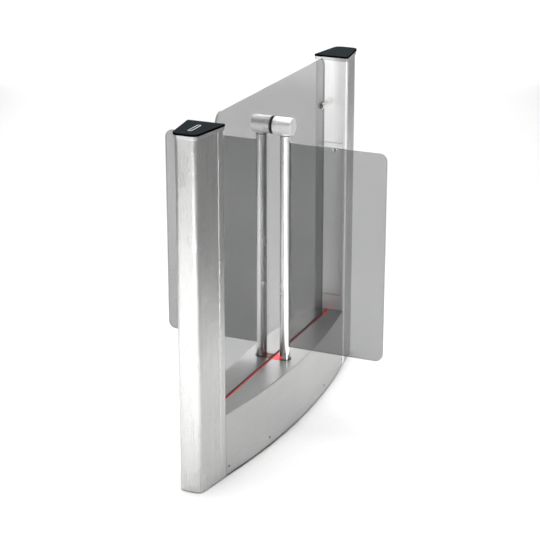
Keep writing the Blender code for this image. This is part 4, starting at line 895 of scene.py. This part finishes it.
def foot_glint_plate():
    """A red plate beside the right column's foot that glows, though it is no lamp: a painted
    reflection of the red light strip. It is a flat plate with a hollow side that follows the
    bezel's hole at an even distance, and has its screw."""
    radius = TUBE_RADIUS + GLINT_PLATE_FROM_TUBE
    reach = BEZEL_RADIUS - GLINT_PLATE_FROM_BEZEL
    inner_x = GROOVE_HALF + GLINT_PLATE_FROM_BEZEL
    top = BEZEL_HIGH.z + GLINT_PLATE_PROUD
    arc = arc_points(radius, math.pi - GLINT_PLATE_HALF_TURN, math.pi + GLINT_PLATE_HALF_TURN, FOOT_STEPS)
    hollow = arc + (AXIS_X, 0)
    corners = [(hollow[-1, 0], -reach), (inner_x, -reach), (inner_x, reach), (hollow[0, 0], reach)]
    rows = levels(BEZEL_HIGH.z - GLINT_PLATE_SINK, top, SHARP_EDGE, SHARP_EDGE)
    net = Net()
    net.loft(np.concatenate([hollow, corners]), rows, "XYZ")
    net.piece("foot_glint_plate", "housing", ["red_glint_glow"], slot="red_light")
    place = (GLINT_PLATE_SCREW_X, GLINT_PLATE_SCREW_Y, top)
    small_screw("glint_plate_screw", "housing", place, UP, GLINT_PLATE_SCREW_RADIUS, "black_plastic")


def cover_screws():
    """Screws low on the bowed covers, square to the bow's arc."""
    for lane, side in LANES:
        for number, y in enumerate(COVER_SCREW_PLACES, 1):
            tilt = math.asin(y / BOW_RADIUS)
            direction = (side * math.cos(tilt), math.sin(tilt), 0.0)
            place = (side * float(bow(y)), y, COVER_SCREW_HEIGHT)
            name = f"cover_screw_{lane}_{number}"
            small_screw(name, "housing", place, direction, COVER_SCREW_RADIUS, "dark_steel")


for lane_name, lane_side in LANES:
    base_cover(lane_name, lane_side)
    foot_bezel(lane_name, lane_side)
foot_glint_plate()
cover_screws()

# Glass


def glass_plate(low, high, radii, plane, side=1):
    """A sheet of glass with ground edges and round corners, given from the first low one on."""
    corners = [(low[0], low[1]), (high[0], low[1]), (high[0], high[1]), (low[0], high[1])]
    outline = rounded(corners, radii, steps=WIDE_STEPS)
    rows = levels(-GLASS_HALF, GLASS_HALF, GLASS_EDGE, GLASS_EDGE)
    net = Net()
    net.loft(outline, rows, plane, side, rim_finish=1)
    return net


def glass_pane():
    """The fixed pane, with two large round corners above."""
    low, high = (-PANE_HIGH.y, PANE_LOW.z), (PANE_HIGH.y, PANE_HIGH.z)
    radii = [PANE_FOOT_RADIUS, PANE_FOOT_RADIUS, PANE_RADIUS, PANE_RADIUS]
    net = glass_plate(low, high, radii, "YZX")
    finishes = ["smoked_glass", "glass_edge"]
    net.piece("pane_sheet", "housing", finishes, ["glass_pane"], "smoked_glass")


def glass_wing(lane, side):
    """A wing, with two round outer corners."""
    low, high = (WING_LOW.x, WING_LOW.z), (WING_HIGH.x, WING_HIGH.z)
    radii = [WING_ROOT_RADIUS, WING_RADIUS, WING_RADIUS, WING_ROOT_RADIUS]
    net = glass_plate(low, high, radii, "XZY", side)
    finishes = ["smoked_glass", "glass_edge"]
    net.piece(f"wing_sheet_{lane}", f"{lane}_column", finishes, [f"wing_{lane}"], "smoked_glass")


glass_pane()
for lane_name, lane_side in LANES:
    glass_wing(lane_name, lane_side)

# Columns and heads


def slotted_tube(lane, side):
    """The column's tube: a C-shaped section where the wing goes in, and a whole ring above and
    below, with a grub screw low on it."""
    half = GLASS_HALF + GAP
    slot_low, slot_high = WING_LOW.z - GAP, WING_HIGH.z + GAP
    start_outer = math.asin((half + SLOT_LIP) / TUBE_RADIUS)
    start_inner = math.asin((half + SLOT_LIP) / TUBE_BORE)
    outer = arc_points(TUBE_RADIUS, start_outer, 2 * math.pi - start_outer, ROUND_STEPS)
    inner = arc_points(TUBE_BORE, 2 * math.pi - start_inner, start_inner, ROUND_STEPS)
    edge_x = math.sqrt(TUBE_RADIUS ** 2 - half ** 2) - SLOT_LIP
    bore_x = math.sqrt(TUBE_BORE ** 2 - half ** 2) + SLOT_LIP
    start = [(bore_x, half), (edge_x, half)]
    end = [(edge_x, -half), (bore_x, -half)]
    outline = np.concatenate([start, outer, end, inner]) * (side, 1) + (side * AXIS_X, 0)
    net = Net()
    net.loft(outline, plain_levels(slot_low, slot_high), "XYZ")
    for low, high in ((TUBE_LOW.z, slot_low), (slot_high, TUBE_HIGH.z)):
        top = TUBE_EDGE if high == TUBE_HIGH.z else HIDDEN_EDGE
        edges = [HIDDEN_EDGE, HIDDEN_EDGE, top, SEALED_EDGE]
        profile = rounded(ring_corners(TUBE_BORE, TUBE_RADIUS, low, high), edges)
        net.revolve(profile, (side * AXIS_X, 0, 0), UP, ring=True)
    body, replaced = f"{lane}_column", [f"column_tube_{lane}"]
    net.piece(f"tube_{lane}", body, ["polished_steel"], replaced, "polished_steel")
    facing = np.array([math.cos(GRUB_TURN), math.sin(GRUB_TURN), 0.0])
    place = facing * (TUBE_RADIUS - GRUB_SINK) + (side * AXIS_X, 0.0, BASE_TOP + GRUB_HEIGHT)
    small_screw(f"grub_screw_{lane}", body, place, facing, GRUB_RADIUS, "dark_steel")


def turn_on_heads(net, corners, edges, side, solid=False):
    """A form turned about the heads' common axis, from the corners of its profile."""
    profile = rounded(corners, edges, closed=not solid)
    net.revolve(profile, (0, 0, HEAD_Z), (side, 0, 0), ring=not solid)


def head(lane, side):
    """A head: a turned drum on its side with a small round at each end, and a seat below it."""
    near_x, far_x = HEAD_LOW.x, HEAD_HIGH.x
    recess_x, recess_radius = far_x - HEAD_RECESS, HEAD_CAP_RADIUS + HEAD_CAP_PLAY
    drum = [
        (HEAD_BORE, near_x),
        (HEAD_RADIUS, near_x),
        (HEAD_RADIUS, far_x),
        (recess_radius, far_x),
        (recess_radius, recess_x),
        (HEAD_BORE, recess_x),
    ]
    drum_edges = [
        SHARP_EDGE, HEAD_END_EDGE, HEAD_END_EDGE, HEAD_RECESS_EDGE, SEALED_EDGE, SHARP_EDGE,
    ]
    net = Net()
    turn_on_heads(net, drum, drum_edges, side)
    seat = ring_corners(SEAT_BORE, TUBE_RADIUS, HEAD_LOW.z, HEAD_Z - SEAT_DROP)
    profile = rounded(seat, [SEALED_EDGE, SEAT_EDGE, SEALED_EDGE, SEALED_EDGE])
    net.revolve(profile, (side * AXIS_X, 0, 0), UP, ring=True)
    finishes, replaced = ["head_steel"], [f"head_{lane}"]
    net.piece(f"head_drum_{lane}", "housing", finishes, replaced, "polished_steel")


def head_trim(lane, side):
    """The clamp ring beside a head, the gasket on the pane and the disc in the head's end."""
    low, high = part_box("head_ring_right")
    corners = ring_corners(HEAD_BORE, HEAD_RADIUS, low.x, high.x)
    ring = Net()
    edges = [SHARP_EDGE, CLAMP_RING_EDGE, HEAD_END_EDGE, SHARP_EDGE]
    turn_on_heads(ring, corners, edges, side)
    finishes, replaced = ["head_steel"], [f"head_ring_{lane}"]
    ring.piece(f"clamp_ring_{lane}", "housing", finishes, replaced, "polished_steel")
    low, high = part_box("head_gasket_right")
    corners = ring_corners(HEAD_BORE, high.z - HEAD_Z, low.x, high.x)
    gasket = Net()
    turn_on_heads(gasket, corners, [SHARP_EDGE, FINE_EDGE, FINE_EDGE, SHARP_EDGE], side)
    finishes, replaced = ["black_rubber"], [f"head_gasket_{lane}"]
    gasket.piece(f"gasket_{lane}", "housing", finishes, replaced, "black_rubber")
    low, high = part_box("head_cap_right")
    corners = ring_corners(POLE_RADIUS, HEAD_CAP_RADIUS, low.x, high.x)
    disc = Net()
    turn_on_heads(disc, corners, [0, SHARP_EDGE, HEAD_CAP_EDGE, 0], side, solid=True)
    finishes, replaced = ["head_steel"], [f"head_cap_{lane}"]
    disc.piece(f"head_disc_{lane}", "housing", finishes, replaced, "polished_steel")


def pane_pin(name, side):
    """A pin that holds the pane: a round bar from the post, whose end is slotted for the glass."""
    grip = PANE_HIGH.y + GAP
    corners = ring_corners(POLE_RADIUS, PIN_RADIUS, grip, FACE_Y)
    profile = rounded(corners, [0, SHARP_EDGE, FINE_EDGE, 0], closed=False)
    net = Net()
    net.revolve(profile, (0, 0, PIN_Z), (0, side, 0))
    arc_start = math.acos((GLASS_HALF + PIN_SLOT_PLAY) / PIN_RADIUS)
    jaw = arc_points(PIN_RADIUS, -arc_start, arc_start, JAW_STEPS)
    rows = levels(PIN_TIP, grip + PIN_OVERLAP, PIN_EDGE, HIDDEN_EDGE) * (1, side)
    for jaw_side in (-1, 1):
        net.loft(jaw * (jaw_side, 1) + (0, PIN_Z), rows, "XZY")
    finishes, replaced = ["polished_steel"], [f"{name}_pane_pin"]
    net.piece(f"{name}_pin_bar", "housing", finishes, replaced, "polished_steel")


for lane_name, lane_side in LANES:
    slotted_tube(lane_name, lane_side)
    head(lane_name, lane_side)
    head_trim(lane_name, lane_side)
for post_name, post_side in SIDES:
    pane_pin(post_name, post_side)

# Service door


def service_door():
    """The door: a front sheet with a rolled hinge side, round front edges and a hole for the lock,
    and behind it a folded rim all the way round."""
    axis_x, free_x = DOOR_LOW.x + DOOR_ROLL, DOOR_HIGH.x - DOOR_REVEAL
    low, high = DOOR_LOW.z + DOOR_REVEAL, DOOR_HIGH.z - DOOR_REVEAL
    outer = rounded([(axis_x, low), (free_x, low), (free_x, high), (axis_x, high)], DOOR_CORNER)
    lock = np.array([LOCK_X, DOOR_HIGH.z - LOCK_DROP])
    rows = levels(-DOOR_LOW.y - DOOR_SHEET, -DOOR_LOW.y, SHARP_EDGE, DOOR_EDGE) * (1, -1)
    net = Net()
    net.washer(outer, lock, LOCK_HOLE, rows, "XZY")
    roll = arc_points(DOOR_ROLL, -1.5 * math.pi, -0.5 * math.pi, ROLL_STEPS)
    roll_rows = levels(low, high, DOOR_ROLL_EDGE, DOOR_ROLL_EDGE)
    net.loft(roll + (axis_x, DOOR_LOW.y + DOOR_ROLL), roll_rows, "XYZ")
    inner = inset(outer, DOOR_RIM_SHEET)
    front, back = DOOR_LOW.y + DOOR_RIM_START, DOOR_HIGH.y
    rim = ((outer, front), (outer, back), (inner, back), (inner, front))
    net.grid(np.stack([placed(outline, y, "XZY") for outline, y in rim]), closed=True)
    # The door takes the paler copy of the steel, painted light.
    net.piece("door_sheet", "service_door", ["lit_copy_face_steel"], ["service_door"], "brushed_steel")


service_door()

# Finishes of the nodes that stay as they are

for finish_name, node_names in NODE_FINISH.items():
    for node_name in node_names:
        for material_slot in nodes[node_name].material_slots:
            material_slot.material = MATERIALS[finish_name]

# Floor, light and camera

FLOOR_HALF = 14.0
VIEW_TURN = 0.4155754
VIEW_TILT = 0.3406578
VIEW_DISTANCE = 4.95574
VIEW_CENTRE = (0.0, 0.0, 0.5)
VIEW_LEFT = 0.009682
VIEW_DOWN = 0.04133
LENS_LENGTH = 114.593
SENSOR_WIDTH = 36.0
ROOM_BRIGHT_SIDE = (-0.39, 0.86, 0.33)
ROOM_EDGE = (0.78, 0.98)
ROOM_STRENGTH = (0.08, 4.8)

# Each lamp's name, place, sides, power in watts, spread in degrees and point to aim at

LAMPS = (
    ("light_before", (0.02, -2.20, 2.36), (1.62, 2.94), 36.0, 35.0, None),
    ("light_front", (-0.45, -2.70, 2.40), (0.50, 2.60), 9.5, 18.0, None),
    ("light_left", (-1.52, -1.66, 3.00), (1.00, 3.20), 31.0, 40.0, None),
    ("light_over", (0.0, 0.30, 2.40), (2.48, 1.66), 10.6, 30.0, None),
    ("light_behind", (0.0, 2.96, 2.40), (3.23, 3.71), 27.6, 30.0, None),
    ("light_distant", (0.0, 6.16, 2.40), (5.20, 3.30), 43.5, 30.0, None),
    ("light_wall", (-3.26, -4.03, 1.30), (4.50, 1.60), 20.0, 80.0, (0.0, 0.0, 1.3)),
    ("light_side", (2.10, -2.10, 1.05), (0.60, 0.80), 5.0, 40.0, (0.0, 0.43, 0.60)),
)


def floor_surface():
    """Matt white paper with a faint grain."""
    shade = new_shade("floor_paper")
    grain = shade.even_noise(60.0, 3.0)
    colour = shade.colour((0.84, 0.84, 0.84), (0.88, 0.88, 0.88), grain)
    return shade.surface(colour, 0.9 + grain * 0.05, Specular_IOR_Level=0.0)


def floor():
    """One flat square, far wider than the gate."""
    half = FLOOR_HALF
    corners = [(-half, -half, 0), (half, -half, 0), (half, half, 0), (-half, half, 0)]
    mesh = bpy.data.meshes.new("floor")
    mesh.from_pydata(corners, [], [(0, 1, 2, 3)])
    mesh.materials.append(floor_surface())
    plane = bpy.data.objects.new("floor", mesh)
    bpy.context.scene.collection.objects.link(plane)


def softbox(name, place, sides, power, spread, aim):
    """A soft lamp, with its place given across the camera's line of sight, ahead along it from the
    gate's middle, and up. It looks straight down unless it has a point to aim at."""
    light = bpy.data.lights.new(name, "AREA")
    light.shape = "RECTANGLE"
    light.size, light.size_y = sides
    light.energy = power
    light.spread = math.radians(spread)
    lamp = bpy.data.objects.new(name, light)
    across, ahead, height = place
    cosine, sine = math.cos(VIEW_TURN), math.sin(VIEW_TURN)
    lamp.location = (across * cosine - ahead * sine, across * sine + ahead * cosine, height)
    lamp.rotation_euler = (0.0, 0.0, VIEW_TURN)
    if aim:
        lamp.rotation_euler = (Vector(aim) - lamp.location).to_track_quat("-Z", "Y").to_euler()
    bpy.context.scene.collection.objects.link(lamp)


def world_light():
    """A dim even room with one bright side, behind the gate."""
    shade = Shade(bpy.data.worlds.new("room"), "Generated")
    settings, sockets = {"operation": "DOT_PRODUCT"}, {0: shade.point, 1: ROOM_BRIGHT_SIDE}
    near_bright = shade.node("ShaderNodeVectorMath", settings, sockets, "Value")
    strength = shade.smooth(near_bright, *ROOM_EDGE, *ROOM_STRENGTH)
    sockets = {"Color": (1.0, 1.0, 1.0, 1.0), "Strength": strength}
    light = shade.node("ShaderNodeBackground", {}, sockets)
    shade.node("ShaderNodeOutputWorld", {}, {"Surface": light})
    bpy.context.scene.world = shade.owner


def camera():
    """The photograph's camera: its turn and tilt, and the point of the gate that it looks past."""
    level = math.cos(VIEW_TILT)
    aside, behind = math.sin(VIEW_TURN) * level, -math.cos(VIEW_TURN) * level
    back = Vector((aside, behind, math.sin(VIEW_TILT)))
    right = Vector((math.cos(VIEW_TURN), math.sin(VIEW_TURN), 0.0))
    up = back.cross(right)
    lens = bpy.data.cameras.new("camera")
    lens.sensor_width = SENSOR_WIDTH
    lens.lens = LENS_LENGTH
    lens.clip_end = 100.0
    view = bpy.data.objects.new("camera", lens)
    bpy.context.scene.collection.objects.link(view)
    place = Vector(VIEW_CENTRE) - right * VIEW_LEFT - up * VIEW_DOWN + back * VIEW_DISTANCE
    turn = Matrix((right, up, back)).transposed().to_4x4()
    view.matrix_world = Matrix.Translation(place) @ turn
    bpy.context.scene.camera = view


floor()
world_light()
camera()
for lamp_values in LAMPS:
    softbox(*lamp_values)
bpy.context.scene.view_settings.view_transform = "Standard"
